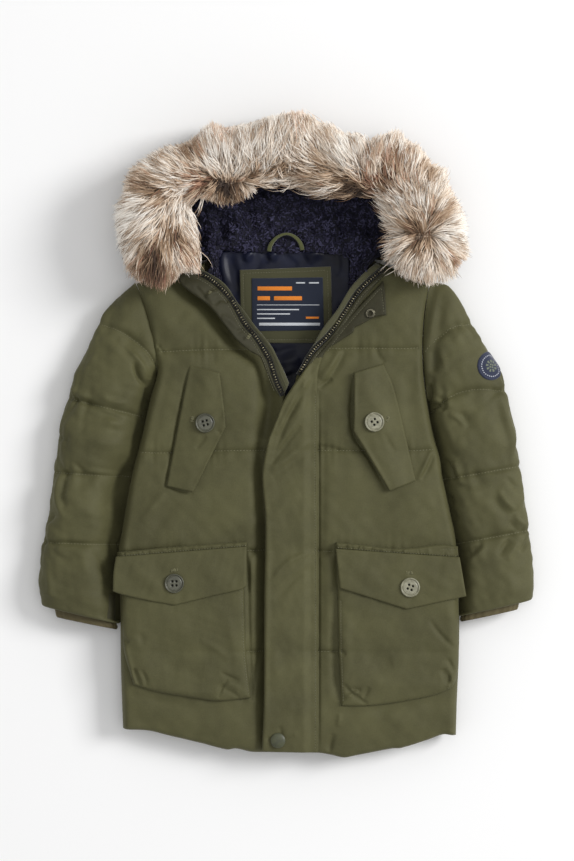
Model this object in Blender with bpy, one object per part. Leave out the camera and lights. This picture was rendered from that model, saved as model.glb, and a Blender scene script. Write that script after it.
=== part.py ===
"""A child's padded parka with a fur trimmed hood, laid flat on its back with the front up.

Outlines are drawn on a pattern grid of 1.13 mm squares, as (column, row) counted right and
down, with square (289, 437) over the part's origin. Heights, walls and gaps are millimetres
above the surface that the coat lies on. "Right" and "left" are the wearer's: the wearer's
right side lies at -X. The collar points to +Y and the front of the coat to +Z.
"""

import math

import bmesh
import bpy
from mathutils import Matrix, Vector
from mathutils.bvhtree import BVHTree
from mathutils.geometry import delaunay_2d_cdt, normal

# ---------------------------------------------------------------- driving dimensions
GRID = 1.13                 # mm, one square of the pattern grid
ORIGIN_SQUARE = (289, 437)
MM = 0.001
GAP = 0.3                   # mm between neighbouring pieces

SEAM_HEIGHT = 22.0          # side seams, where front and back are sewn together
QUILT_ROWS = (250, 350, 450, 550, 651, 752)
QUILT_PUFF = 3.5            # how far the padding stands up between two quilting seams
PUFF_FULLNESS = 0.7         # below 1, a puff rises steeply at its seams and is broad on top
PUFF_RAMP = 20.0            # mm from a sewn edge over which the puffs rise to full height
CROWN = 2.0                 # extra height along the middle of the body

STORM_FLAP_WALL = 3.0
EDGE_BAND_WALL = 3.2
GUARD_WALL = 2.0
CHEST_FLAP_WALL = 3.5
POCKET_WALL = 3.0
POCKET_HOLLOW = 3.0         # air left in an empty pocket
POCKET_SEWN_RIM = 8.0       # mm over which the pocket rises from its sewn edge
LEAST_LEAN = 0.4            # keeps a shrunk outline's sharp corners from running away
POCKET_FLAP_WALL = 3.0
SLEEVE_WALL = 8.0
CUFF_WALL = 3.0
SATIN_WALL = 2.0
PATCH_WALL = 1.5
LABEL_WALL = 0.8
LOOP_WALL = 2.0
HOOD_WALL = 8.0
TEDDY_WALL = 4.0
TEDDY_TOP = 16.0            # height of the fleece on the floor of the hood
TEDDY_BASE = TEDDY_TOP - TEDDY_WALL
POCKET_FLAP_LIFT = GAP + POCKET_HOLLOW + POCKET_WALL + GAP

BUTTON_RADIUS = 11.0
BUTTON_THICKNESS = 3.2
BUTTON_HOLE_RADIUS = 1.2
BUTTON_HOLE_OFFSET = 2.6
STUD_RADIUS = 8.5
STUD_THICKNESS = 1.6
SOCKET_RADIUS = 5.5
SOCKET_HOLE_RADIUS = 2.6
SOCKET_THICKNESS = 1.4

CHAIN_WIDTH = 5.6           # mm over the teeth of the zip
CHAIN_SINK = 7.0            # the closed zip lies this far below the front's surface
CHAIN_THICKNESS = 3.0
TAPE_STEP = 0.8             # the tape lies this far above the underside of the teeth
TAPE_THICKNESS = 1.4
SLIDER_SIZE = (9.0, 11.0)   # mm across and along the zip
SLIDER_PLATE = 1.0          # the slider's plates above and below the teeth
EAR_WALL = 1.2
EAR_REACH = 1.2             # of the ears past the pivot's axis
PIVOT_LIFT = 1.4            # of the pivot's axis over the slider's top plate
PIVOT_RADIUS = 0.6
PULL_SIZE = (6.0, 20.0)
PULL_INSET = 0.4            # the tab is this much narrower than the cross bar on each side
PULL_WALL = 1.2

# counts of facets round the small round pieces
DISC_COUNT = 20
HOLE_COUNT = 8
RING_HOLE_COUNT = 12
BAR_COUNT = 12

# ---------------------------------------------------------------- outlines of the body
ARMHOLES = {
    # shoulder point, underarm point, how far the seam bows towards the middle of the body
    "right": ((141, 289), (158, 370), 0.8),
    "left": ((429.5, 282), (427, 400), 6.0),
}
ARMHOLE_STEPS = 4
SIDE_SEAMS = {
    # column, row below the underarm, down to the hem's corner
    "right": (
        (150, 400), (141, 440), (133, 470), (127, 500), (122, 530), (118, 555),
        (120, 600), (121, 672), (123, 728),
    ),
    "left": (
        (433.5, 434), (440, 458), (443.5, 481), (449.5, 507), (456, 541), (458, 600),
        (459, 650), (457, 700), (456, 735),
    ),
}
CENTRE_EDGE_RIGHT = 285.5   # columns of the front edges below the V, under the storm flap
CENTRE_EDGE_LEFT = 296.5
HEM_RIGHT = ((169, 735), (203, 743), (227, 749), (253, 751))
HEM_LEFT = ((320, 753), (344, 757), (368, 753), (401, 748), (427, 740))
HEM_MIDDLE_ROW = 752
HEM_MIDDLE = ((CENTRE_EDGE_RIGHT, HEM_MIDDLE_ROW), (CENTRE_EDGE_LEFT, HEM_MIDDLE_ROW))
NECK_RIGHT = (206, 262)
NECK_LEFT = (376, 262)
BACK_NECK_ROW = 259
BACK_NECK_COLUMNS = (207, 375)

# The lattice that the body's surfaces are creased along.
LATTICE_ROWS = (
    244, 262, 276, 290, 305, 320, 350, 370, 400, 425, 450, 475, 500, 525, 550,
    575, 600, 625, 651, 676, 701, 728, 762,
)
EDGE_STEPS = (0, 5, 14, 28)        # squares in from a side seam
INNER_COLUMNS = 5
OUTSIDE = 5                        # squares that the lattice reaches past the outline

# Height above or below the side seams (mm), by distance from the nearest sewn edge (mm).
FRONT_TOP = ((0, 4.0), (5.6, 9.0), (15.8, 11.8), (31.6, 12.8))
FRONT_UNDER = ((0, 0.15), (8, 0.3), (15.8, 1.6), (31.6, 2.6))
BACK_TOP = ((0, -0.15), (8, -0.3), (15.8, -8.0), (31.6, -11.0))
BACK_UNDER = ((0, -6.0), (5.6, -12.0), (15.8, -20.0), (31.6, -22.0))

# The two sides of the open neck, from the collar down to the point of the V.
V_INNER_RIGHT = (
    (206, 274), (223, 285), (241, 304), (255, 325), (272, 349), (281, 366), (285, 377),
)
V_TEETH_RIGHT = (
    (192, 272), (212, 283), (229, 301), (251, 333), (268, 355), (275, 370), (283, 396),
)
V_OUTER_RIGHT = (
    (176, 274), (184, 288), (211, 309), (230, 338), (247, 356), (257, 375), (272, 393),
)
V_INNER_LEFT = (
    (376, 266), (352, 288), (337, 307), (327, 325), (313, 348), (303, 368), (297.5, 380),
)
V_TEETH_LEFT = (
    (384, 268), (359, 291), (347, 305), (337, 323), (319, 347), (307, 365), (300, 380),
)
V_OUTER_LEFT = (
    (392, 270), (380, 280), (369, 292), (356, 306), (338, 327), (322, 351), (308, 371),
)
V_FOOT_ROW = 392
V_EDGE_INSET = 1.0          # mm from the guards' edge to the edge of the front under them
ZIP_COLUMN = (CENTRE_EDGE_RIGHT + CENTRE_EDGE_LEFT) / 2
SLIDER_ROW = 408
PIVOT_ROW = 405
HEM_STOP_ROW = 746

# ---------------------------------------------------------------- what lies on the fronts
STORM_FLAP = (
    (262, 751), (264, 700), (264.5, 600), (265.5, 520), (262.5, 473), (269, 440),
    (273, 428), (283, 409), (302, 384), (320, 360), (324, 351), (341, 326), (383, 281),
    (385, 297), (386, 316), (374, 322), (355, 334), (335, 344), (323, 357), (317.5, 375),
    (317, 480), (317.5, 600), (317.5, 752),
)
FLAP_RISE_COLUMNS = (303, 312)   # the flap climbs over the zip between these columns
FLAP_RISE_ROWS = (340, 765)
FLAP_LIFT = 4.3
CHEST_FLAPS = {
    "right": ((190, 365), (220, 373), (224, 405), (226, 427), (193.5, 492), (167, 486)),
    "left": ((353.5, 373), (383, 364), (393, 387), (415.5, 480.5), (389, 491), (353, 431)),
}
POCKETS = {
    # the mouth first, then round the three sewn sides
    "right": (
        (122, 566), (244, 560), (246, 648), (251, 697), (219, 700), (186, 696),
        (157, 691), (134, 684), (128, 665), (124, 648),
    ),
    "left": (
        (337, 563), (458, 570), (459, 650), (455, 681), (441, 692), (406, 700),
        (368, 705), (341, 705), (338, 640),
    ),
}
POCKET_STRIPS = {
    "right": ((119.5, 551.5), (246.5, 541), (246, 546), (119.5, 556.5)),
    "left": ((335.5, 542), (456, 551), (456.5, 557), (335, 548.5)),
}
POCKET_FLAPS = {
    "right": ((119.5, 557), (246, 546.5), (246, 586), (240, 589), (175, 604), (120, 593)),
    "left": ((335, 549), (456.5, 557.5), (457, 595), (406, 608.5), (340, 588)),
}
BUTTONS = {
    "button_chest_right": (205.5, 423),
    "button_chest_left": (374, 422),
    "button_pocket_right": (175, 582.5),
    "button_pocket_left": (409.5, 586.5),
}
STUD_SQUARE = (278, 739)
SOCKET_SQUARE = (370, 314)
PATCH = ((239.5, 269.5), (331, 266), (333, 343), (241, 343))
LABEL = ((251.5, 278), (323, 277), (324, 330), (252, 331))
SATIN = (
    (228.5, 290), (224, 271), (222.5, 258), (225, 251), (343, 251), (344.5, 257),
    (343.5, 273), (345, 292), (348, 415), (232, 415),
)
LOOP_PATH = (
    (266, 251), (267.5, 243), (273, 237), (281, 233.5), (290, 233.5), (297, 237),
    (302, 243), (304, 251),
)
LOOP_WIDTH = 5.0

# ---------------------------------------------------------------- sleeves
ARMHOLE_HEIGHT = 34
ARMHOLE_CLEARANCE = 0.7     # squares between the sleeve's first ring and the body's edge
SLEEVES = {
    # outer column, row; inner column, row; height of the tube
    "right": (
        (119, 296, 155.3, 374, 36), (100, 321, 152.8, 382, 39), (83, 358, 150.3, 392, 41),
        (68, 398, 143.3, 418, 41), (60, 436, 137, 449, 42), (54, 472, 130, 478, 41),
        (50, 510, 123.5, 511, 42), (43, 542, 117.5, 545, 40), (40.5, 575, 117, 585, 41),
        (41, 603, 118, 621.5, 39),
    ),
    "left": (
        (451, 288, 429.7, 404, 36), (471, 326, 431.6, 412, 39), (489, 356, 433.6, 421, 41),
        (505, 391, 436, 433, 41), (512, 425, 442, 457, 42), (519, 466, 445.5, 480, 41),
        (524, 500, 452.5, 511, 42), (529, 530, 458.3, 544, 40), (533, 565, 459.8, 578, 41),
        (533, 597, 460.5, 614, 39),
    ),
}
CUFF_STATIONS = (0.2, 1.0, 1.3)   # shares of the last sleeve step; the cuff stands out past 1
CUFF_CLEARANCE = 0.5        # mm between the cuff and the inside of the sleeve
RING_POINTS = 16
TUBE_MIDDLE = 0.42          # height of the fold lines, as a share of the tube's height
# The powers and factor below shape the tube's section: full on top, flatter underneath.
TUBE_SIDES = 0.85
TUBE_TOP = 0.8
TUBE_UNDER = 0.6
TUBE_FLATTENING = 1.12
BADGE_CENTRE = (485.5, 366)
BADGE_RADIUS = 17.5
BADGE_WALL = 1.6
BADGE_LIFT = 1.3            # clears the facets of the arm
BADGE_LEAN = 45             # degrees that the badge leans out over the side of the arm
BADGE_RINGS = (0.0, 0.35, 0.7, 1.0)   # shares of the radius

# ---------------------------------------------------------------- hood
HOOD = (
    # fur outer column, row; fur inner column, row; lining edge column, row; foot of the fur
    (139, 290, 206, 278, 226, 286, 46.5),
    (124, 262, 203, 256, 222, 270, 46.5),
    (119, 232, 200, 238, 220, 256, 10),
    (118, 205, 195, 218, 222, 249, 8),
    (128, 174, 193, 203, 232, 248, 8),
    (150, 155, 198, 193, 242, 248, 8),
    (180, 140, 214, 190, 253, 248, 8),
    (205, 128, 232, 190, 264, 248, 8),
    (240, 120, 254, 184, 276, 248, 8),
    (285, 112, 288, 183, 289, 248, 8),
    (325, 121, 318, 189, 301, 248, 8),
    (360, 130, 342, 196, 312, 248, 8),
    (400, 132, 362, 199, 323, 248, 8),
    (425, 148, 376, 204, 334, 248, 8),
    (445, 168, 384, 215, 342, 249, 8),
    (459, 195, 388, 228, 346, 252, 8),
    (467, 225, 389, 243, 347, 257, 10),
    (464, 255, 386, 258, 346, 272, 46.5),
    (450, 286, 378, 276, 346, 290, 46.5),
)
HOOD_SHELL_ROWS = (1, 7, 11, 17)   # rows of HOOD where the shell's three panels meet
SHELL_ENDS = {
    # where the hood's sides run over the shoulders: neck square, wall square
    1: ((197, 262), (160, 272)),
    17: ((385, 262), (424, 270)),
}
SHELL_END_FOOT = 33.0
# Rows of HOOD where the lining stands up beside the neck, and the square of its rim there.
COLLAR_RIMS = {0: (213, 272), 1: (211, 262), 17: (371, 259), 18: (364, 268)}
WALL_SHARE = 0.40           # the hood's wall stands this far from the fur's outer edge
RIM_HEIGHT = 50.0
COLLAR_RIM_HEIGHT = 38.0
FUR_TOP = 100.0
NECK_SEAM_ROW = BACK_NECK_ROW - 0.5
LINING_CLEARANCE = 0.8      # mm between the hood's wall and the fleece in front of it
# The fur's section: share of the way from its outer to its inner edge, height. Rows with no
# height of their own use the bed that the fur is sewn to, and its skirt outside the wall.
FUR_CROWN = (
    (0.05, 74), (0.18, 91), (0.40, FUR_TOP), (0.64, 97), (0.86, 84), (0.99, 66),
)
FUR_OUTER_SHARES = (0.04, 0.0)
FUR_BED_SHARES = (0.97, 0.80, 0.37, 0.35)

# ---------------------------------------------------------------- colour (linear), roughness, metallic
SHELL_CLOTH = ((0.078, 0.074, 0.036), 0.6, 0.0)
SHADED_CLOTH = ((0.050, 0.047, 0.023), 0.6, 0.0)
RIBBED_TAPE = ((0.050, 0.047, 0.023), 0.8, 0.0)
TWILL = ((0.078, 0.074, 0.036), 0.7, 0.0)
SATIN_NAVY = ((0.030, 0.034, 0.070), 0.35, 0.0)
WOVEN_NAVY = ((0.030, 0.034, 0.070), 0.7, 0.0)
TEDDY_NAVY = ((0.022, 0.022, 0.045), 0.9, 0.0)
FUR_CREAM = ((0.45, 0.36, 0.28), 0.9, 0.0)
DARK_METAL = ((0.16, 0.15, 0.13), 0.35, 1.0)
HORN = ((0.17, 0.17, 0.12), 0.4, 0.0)
ENAMEL = ((0.078, 0.074, 0.036), 0.4, 0.2)
SHARP_ANGLE = 40            # degrees; edges that bend more than this look sharp


def at(square):
    """The place of a pattern square in millimetres."""
    column, row = square
    return Vector(((column - ORIGIN_SQUARE[0]) * GRID, (ORIGIN_SQUARE[1] - row) * GRID))


def between(table, value):
    """Reads a table of (key, result) rows at value, straight between its rows."""
    if value <= table[0][0]:
        return table[0][1]
    for (low, first), (high, second) in zip(table, table[1:]):
        if value <= high:
            return first + (second - first) * (value - low) / (high - low)
    return table[-1][1]


def distance_to(point, path):
    """How far a place is from a path of places."""
    best = math.inf
    for start, end in zip(path, path[1:]):
        run = end - start
        share = max(0.0, min(1.0, (point - start).dot(run) / run.length_squared))
        best = min(best, (start + run * share - point).length)
    return best


# ---------------------------------------------------------------- making objects
def finish(name, mesh_bm, look):
    """Turns a bmesh in millimetres into a named object with its own material."""
    colour, roughness, metallic = look
    bmesh.ops.recalc_face_normals(mesh_bm, faces=mesh_bm.faces)
    bmesh.ops.triangulate(mesh_bm, faces=mesh_bm.faces)
    bmesh.ops.scale(mesh_bm, vec=(MM, MM, MM), verts=mesh_bm.verts)
    mesh = bpy.data.meshes.new(name)
    mesh_bm.to_mesh(mesh)
    mesh_bm.free()
    mesh.shade_smooth()
    mesh.set_sharp_from_angle(angle=math.radians(SHARP_ANGLE))
    material = bpy.data.materials.new(name)
    material.use_nodes = True
    shader = material.node_tree.nodes["Principled BSDF"]
    shader.inputs["Base Color"].default_value = (*colour, 1.0)
    shader.inputs["Roughness"].default_value = roughness
    shader.inputs["Metallic"].default_value = metallic
    mesh.materials.append(material)
    made = bpy.data.objects.new(name, mesh)
    bpy.context.scene.collection.objects.link(made)
    return made


class Relief:
    """A faceted surface over a grid of places. Every piece that lies on it is creased along
    the same lines, so stacked pieces keep their gaps exactly."""

    def __init__(self, places, heights):
        width = len(places[0])
        points = [
            Vector((place.x, place.y, height))
            for place_row, height_row in zip(places, heights)
            for place, height in zip(place_row, height_row)
        ]
        triangles = []
        creases = set()
        for row in range(len(places) - 1):
            for column in range(width - 1):
                a = row * width + column
                b, c, d = a + 1, a + width + 1, a + width
                triangles += [(a, b, c), (a, c, d)]
                creases |= {(a, b), (a, c), (a, d), (b, c), (d, c)}
        self.places = [point.xy for point in points]
        self.creases = sorted(creases)
        self.facets = [(points[a], normal([points[a], points[b], points[c]]))
                       for a, b, c in triangles]
        self.plan = BVHTree.FromPolygons([(*place, 0.0) for place in self.places], triangles)

    def height(self, place):
        corner, facing = self.facets[self.plan.find_nearest((*place, 0.0))[2]]
        away = place - corner.xy
        return corner.z - (facing.x * away.x + facing.y * away.y) / facing.z


def counter_clockwise(ring):
    """The ring, turned round where it runs clockwise."""
    area = sum(ring[i - 1].cross(place) for i, place in enumerate(ring))
    return ring if area > 0 else ring[::-1]


def slab(name, outline, relief, low, high, look, holes=(), extra=()):
    """A closed piece over an outline, from low(place) to high(place). It is creased along the
    relief's lines and the extra paths, and left open over the holes."""
    places = list(relief.places) if relief else []
    edges = list(relief.creases) if relief else []
    for path in extra:
        start = len(places)
        places += path
        edges += [(i, i + 1) for i in range(start, len(places) - 1)]
    rings = []
    for ring in (outline, *holes):
        rings.append(list(range(len(places), len(places) + len(ring))))
        places += counter_clockwise(ring)
    cut = delaunay_2d_cdt(places, edges, rings, 0, 1e-4)
    flat, faces, sources = cut[0], cut[2], cut[5]
    kept = [face for face, source in zip(faces, sources) if set(source) == {0}]
    used = sorted({corner for face in kept for corner in face})
    bm = bmesh.new()
    under = {}
    over = {}
    for corner in used:
        place = flat[corner]
        under[corner] = bm.verts.new((place.x, place.y, low(place)))
        over[corner] = bm.verts.new((place.x, place.y, high(place)))
    sides = {}
    for face in kept:
        bm.faces.new([over[corner] for corner in face])
        bm.faces.new([under[corner] for corner in reversed(face)])
        for first, second in zip(face, face[1:] + face[:1]):
            sides[(first, second)] = sides.get((first, second), 0) + 1
    for first, second in sides:
        if (second, first) not in sides:
            bm.faces.new([under[first], under[second], over[second], over[first]])
    return finish(name, bm, look)


def loft(name, sections, look, ring=False):
    """A closed piece through closed sections of equally many points, capped at both ends,
    or joined end to end where ring is set."""
    bm = bmesh.new()
    loops = [[bm.verts.new(point) for point in section] for section in sections]
    pairs = list(zip(loops, loops[1:]))
    if ring:
        pairs.append((loops[-1], loops[0]))
    else:
        bm.faces.new(reversed(loops[0]))
        bm.faces.new(loops[-1])
    for here, there in pairs:
        for i in range(len(here)):
            j = (i + 1) % len(here)
            bm.faces.new([here[i], here[j], there[j], there[i]])
    return finish(name, bm, look)


def ribbon(path, width):
    """The outline of a strip of the given width along a path of places."""
    one_side = []
    other_side = []
    for i, place in enumerate(path):
        ahead = path[min(i + 1, len(path) - 1)] - path[max(i - 1, 0)]
        across = Vector((-ahead.y, ahead.x)).normalized() * width / 2
        one_side.append(place + across)
        other_side.append(place - across)
    return one_side + other_side[::-1]


def moved(path, sideways):
    """A path of places moved sideways, to the left of its direction where positive."""
    result = []
    for i, place in enumerate(path):
        ahead = path[min(i + 1, len(path) - 1)] - path[max(i - 1, 0)]
        result.append(place + Vector((-ahead.y, ahead.x)).normalized() * sideways)
    return result


def turns(count):
    """Equal steps of angle round a full turn."""
    return [2 * math.pi * i / count for i in range(count)]


def disc(centre, radius, count=DISC_COUNT):
    """A circle of places round a centre."""
    return [centre + Vector((math.cos(t), math.sin(t))) * radius for t in turns(count)]


# ---------------------------------------------------------------- the body's surfaces
def armhole(side, share):
    """The square at a share of the way down an armhole."""
    (column, row), (end_column, end_row), bow = ARMHOLES[side]
    inwards = bow if side == "right" else -bow
    return (
        column + (end_column - column) * share + inwards * 4 * share * (1 - share),
        row + (end_row - row) * share,
    )


def side_edge(side):
    """The squares from the shoulder down the armhole and side seam to the hem's corner."""
    shares = [i / ARMHOLE_STEPS for i in range(ARMHOLE_STEPS + 1)]
    return [armhole(side, share) for share in shares] + list(SIDE_SEAMS[side])


SIDE_RIGHT = side_edge("right")
SIDE_LEFT = side_edge("left")


def side_columns(row):
    right = between([(r, c) for c, r in SIDE_RIGHT], row)
    left = between([(r, c) for c, r in SIDE_LEFT], row)
    return right, left


def lattice_columns(row):
    right, left = side_columns(row)
    inner = right + EDGE_STEPS[-1]
    span = left - EDGE_STEPS[-1] - inner
    middle = [inner + span * i / (INNER_COLUMNS + 1) for i in range(1, INNER_COLUMNS + 1)]
    return (
        [right - OUTSIDE]
        + [right + step for step in EDGE_STEPS]
        + middle
        + [left - step for step in reversed(EDGE_STEPS)]
        + [left + OUTSIDE]
    )


SHOULDER_RIGHT = (at(SIDE_RIGHT[0]), at(NECK_RIGHT))
SHOULDER_LEFT = (at(SIDE_LEFT[0]), at(NECK_LEFT))


def from_sewn_edge(column, row):
    """Distance of a square from the side seams, armholes and shoulders, 0 outside them."""
    right, left = side_columns(row)
    place = at((column, row))
    depth = min(column - right, left - column) * GRID
    for start, end in (SHOULDER_RIGHT, SHOULDER_LEFT):
        run = end - start
        share = (place.x - start.x) / run.x
        if 0 <= share <= 1:
            depth = min(depth, (start + run * share - place).y)
    return max(0.0, depth)


def puff(row):
    """How far the padding stands up at a row between two quilting seams."""
    for top, bottom in zip(QUILT_ROWS, QUILT_ROWS[1:]):
        if top <= row <= bottom:
            return QUILT_PUFF * math.sin(math.pi * (row - top) / (bottom - top)) ** PUFF_FULLNESS
    return 0.0


def body_relief(profile, quilted):
    places = []
    heights = []
    for row in LATTICE_ROWS:
        columns = lattice_columns(row)
        right, left = side_columns(row)
        places.append([at((column, row)) for column in columns])
        line = []
        for column in columns:
            height = SEAM_HEIGHT + between(profile, from_sewn_edge(column, row))
            if quilted:
                across = max(0.0, min(1.0, (column - right) / (left - right)))
                height += CROWN * 4 * across * (1 - across)
                height += puff(row) * min(1.0, from_sewn_edge(column, row) / PUFF_RAMP)
            line.append(height)
        heights.append(line)
    return Relief(places, heights)


front_top = body_relief(FRONT_TOP, quilted=True)
front_under = body_relief(FRONT_UNDER, quilted=False)
back_top = body_relief(BACK_TOP, quilted=False)
back_under = body_relief(BACK_UNDER, quilted=False)


def path(squares):
    return [at(square) for square in squares]


def lying_on(relief, lift):
    return lambda place: relief.height(place) + lift


def on_front(name, outline, lift, wall, look=SHELL_CLOTH):
    """A piece of even thickness on the fronts, lift above their surface."""
    under, over = lying_on(front_top, lift), lying_on(front_top, lift + wall)
    slab(name, outline, front_top, under, over, look)


def flat_piece(name, outline, base, wall, look, holes=()):
    """A piece of even thickness on a level base."""
    slab(name, outline, None, lambda place: base, lambda place: base + wall, look, holes)


# ---------------------------------------------------------------- back and fronts
def body_panels():
    right_side = path(SIDE_RIGHT)
    left_side = path(SIDE_LEFT)
    back = (
        right_side + path(HEM_RIGHT + HEM_MIDDLE + HEM_LEFT) + left_side[::-1]
        + [at(NECK_LEFT), at((BACK_NECK_COLUMNS[1], BACK_NECK_ROW))]
        + [at((BACK_NECK_COLUMNS[0], BACK_NECK_ROW)), at(NECK_RIGHT)]
    )
    slab("back_panel", back, back_top, back_under.height, back_top.height, SHADED_CLOTH)
    front_right = (
        right_side + path(HEM_RIGHT)
        + [at(HEM_MIDDLE[0]), at((CENTRE_EDGE_RIGHT, V_FOOT_ROW))]
        + moved(path(V_INNER_RIGHT), -V_EDGE_INSET)[::-1]
        + [at(NECK_RIGHT)]
    )
    front_left = (
        left_side + path(HEM_LEFT)[::-1]
        + [at(HEM_MIDDLE[1]), at((CENTRE_EDGE_LEFT, V_FOOT_ROW))]
        + moved(path(V_INNER_LEFT), V_EDGE_INSET)[::-1]
        + [at(NECK_LEFT)]
    )
    for name, outline in (("front_right", front_right), ("front_left", front_left)):
        slab(name, outline, front_top, front_under.height, front_top.height, SHELL_CLOTH)


def neck_inside():
    """What shows in the open neck, layer on layer, and the loop on the hood's floor."""
    satin_base = SEAM_HEIGHT + BACK_TOP[-1][1] + GAP
    patch_base = satin_base + SATIN_WALL + GAP
    label_base = patch_base + PATCH_WALL + GAP
    loop = ribbon(path(LOOP_PATH), LOOP_WIDTH)
    for name, outline, base, wall, look in (
        ("back_lining", path(SATIN), satin_base, SATIN_WALL, SATIN_NAVY),
        ("neck_patch", path(PATCH), patch_base, PATCH_WALL, TWILL),
        ("neck_label", path(LABEL), label_base, LABEL_WALL, WOVEN_NAVY),
        ("hanger_loop", loop, TEDDY_TOP + GAP, LOOP_WALL, TWILL),
    ):
        flat_piece(name, outline, base, wall, look)


# ---------------------------------------------------------------- the zip and the front edges
def front_edges():
    half_chain = CHAIN_WIDTH / 2
    for side, inner, teeth, outer, turn in (
        ("right", V_INNER_RIGHT, V_TEETH_RIGHT, V_OUTER_RIGHT, 1),
        ("left", V_INNER_LEFT, V_TEETH_LEFT, V_OUTER_LEFT, -1),
    ):
        inner, teeth, outer = path(inner), path(teeth), path(outer)
        towards_v = turn * (half_chain + GAP)
        guard = inner + moved(teeth, towards_v)[::-1]
        band = outer + moved(teeth, -towards_v)[::-1]
        on_front(f"wind_guard_{side}", guard, GAP, GUARD_WALL, RIBBED_TAPE)
        on_front(f"edge_band_{side}", band, GAP, EDGE_BAND_WALL)
        chain = ribbon(teeth, CHAIN_WIDTH)
        on_front(f"zip_chain_{side}", chain, GAP, CHAIN_THICKNESS, DARK_METAL)


def closed_zip():
    """The closed stretch of the zip, sunk between the front edges, and its slider."""
    centre = at((ZIP_COLUMN, SLIDER_ROW))
    slider_end = centre.y - SLIDER_SIZE[1] / 2 - GAP
    foot = at((ZIP_COLUMN, HEM_STOP_ROW))
    half_chain = CHAIN_WIDTH / 2
    half_gap = (CENTRE_EDGE_LEFT - CENTRE_EDGE_RIGHT) / 2 * GRID - GAP

    def strip(low, high):
        return [
            Vector((centre.x + low, foot.y)), Vector((centre.x + high, foot.y)),
            Vector((centre.x + high, slider_end)), Vector((centre.x + low, slider_end)),
        ]

    chain = strip(-half_chain, half_chain)
    on_front("zip_chain_closed", chain, -CHAIN_SINK, CHAIN_THICKNESS, DARK_METAL)
    tape_low = TAPE_STEP - CHAIN_SINK
    right_tape = strip(-half_gap, -half_chain - GAP)
    left_tape = strip(half_chain + GAP, half_gap)
    on_front("zip_tape_right", right_tape, tape_low, TAPE_THICKNESS, RIBBED_TAPE)
    on_front("zip_tape_left", left_tape, tape_low, TAPE_THICKNESS, RIBBED_TAPE)
    slider(centre)


def box_loops(low, high):
    """The two square ends of a box, for loft."""
    corners = ((low[0], low[1]), (high[0], low[1]), (high[0], high[1]), (low[0], high[1]))
    return [[Vector((x, y, z)) for x, y in corners] for z in (low[2], high[2])]


def slider(centre):
    """The slider's body with two ears, and the pull tab whose cross bar turns in them."""
    chain_low = front_top.height(centre) - CHAIN_SINK
    low = chain_low - SLIDER_PLATE
    high = chain_low + CHAIN_THICKNESS + SLIDER_PLATE
    half_width, half_length = SLIDER_SIZE[0] / 2, SLIDER_SIZE[1] / 2
    pivot = Vector((centre.x, at((ZIP_COLUMN, PIVOT_ROW)).y, high + PIVOT_LIFT))
    ear_in = PULL_SIZE[0] / 2 + GAP
    ear_out = ear_in + EAR_WALL
    ear_top = pivot.z + EAR_REACH
    profile = [
        (-half_width, low), (half_width, low), (half_width, high), (ear_out, high),
        (ear_out, ear_top), (ear_in, ear_top), (ear_in, high), (-ear_in, high),
        (-ear_in, ear_top), (-ear_out, ear_top), (-ear_out, high), (-half_width, high),
    ]
    sections = [
        [Vector((centre.x + x, centre.y + y, z)) for x, z in profile]
        for y in (-half_length, half_length)
    ]
    loft("zip_slider", sections, DARK_METAL)
    pull_tab(pivot, ear_in - GAP / 2)


def pull_tab(pivot, half_bar):
    """The cross bar and the tab that hangs from it, with its origin on the pivot's axis."""
    bar = [
        [
            pivot + Vector((x, PIVOT_RADIUS * math.cos(t), PIVOT_RADIUS * math.sin(t)))
            for t in turns(BAR_COUNT)
        ]
        for x in (-half_bar, half_bar)
    ]
    tab = loft("zip_pull", bar, DARK_METAL)
    half_pull = PULL_SIZE[0] / 2 - PULL_INSET
    plate_loops = box_loops(
        (pivot.x - half_pull, pivot.y - PULL_SIZE[1], pivot.z - PULL_WALL / 2),
        (pivot.x + half_pull, pivot.y, pivot.z + PULL_WALL / 2),
    )
    plate = loft("zip_pull_plate", plate_loops, DARK_METAL)
    union = tab.modifiers.new("plate", "BOOLEAN")
    union.operation = "UNION"
    union.object = plate
    plate.hide_render = True
    plate.display_type = "WIRE"
    for piece in (tab, plate):
        piece.data.transform(Matrix.Translation(-pivot * MM))
        piece.location = pivot * MM


# ---------------------------------------------------------------- flaps, pockets, buttons
def storm_flap():
    low_column, high_column = FLAP_RISE_COLUMNS
    rise_lines = [
        [at((column, row)) for row in FLAP_RISE_ROWS] for column in FLAP_RISE_COLUMNS
    ]

    def lift(place):
        column = place.x / GRID + ORIGIN_SQUARE[0]
        share = max(0.0, min(1.0, (high_column - column) / (high_column - low_column)))
        return GAP + (FLAP_LIFT - GAP) * share

    slab(
        "storm_flap", path(STORM_FLAP), front_top,
        lambda place: front_top.height(place) + lift(place),
        lambda place: front_top.height(place) + lift(place) + STORM_FLAP_WALL,
        SHELL_CLOTH, extra=rise_lines,
    )


def chest_flaps():
    for side, outline in CHEST_FLAPS.items():
        on_front(f"chest_flap_{side}", path(outline), GAP, CHEST_FLAP_WALL)


def shrunk(outline, distance):
    """An outline pulled in by a distance, for pieces without sharp hollows."""
    result = []
    for i, place in enumerate(outline):
        before = (place - outline[i - 1]).normalized()
        after = (outline[(i + 1) % len(outline)] - place).normalized()
        bisector = Vector((-before.y - after.y, before.x + after.x)).normalized()
        lean = max(LEAST_LEAN, bisector.dot(Vector((-before.y, before.x))))
        result.append(place + bisector * distance / lean)
    return result


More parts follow.
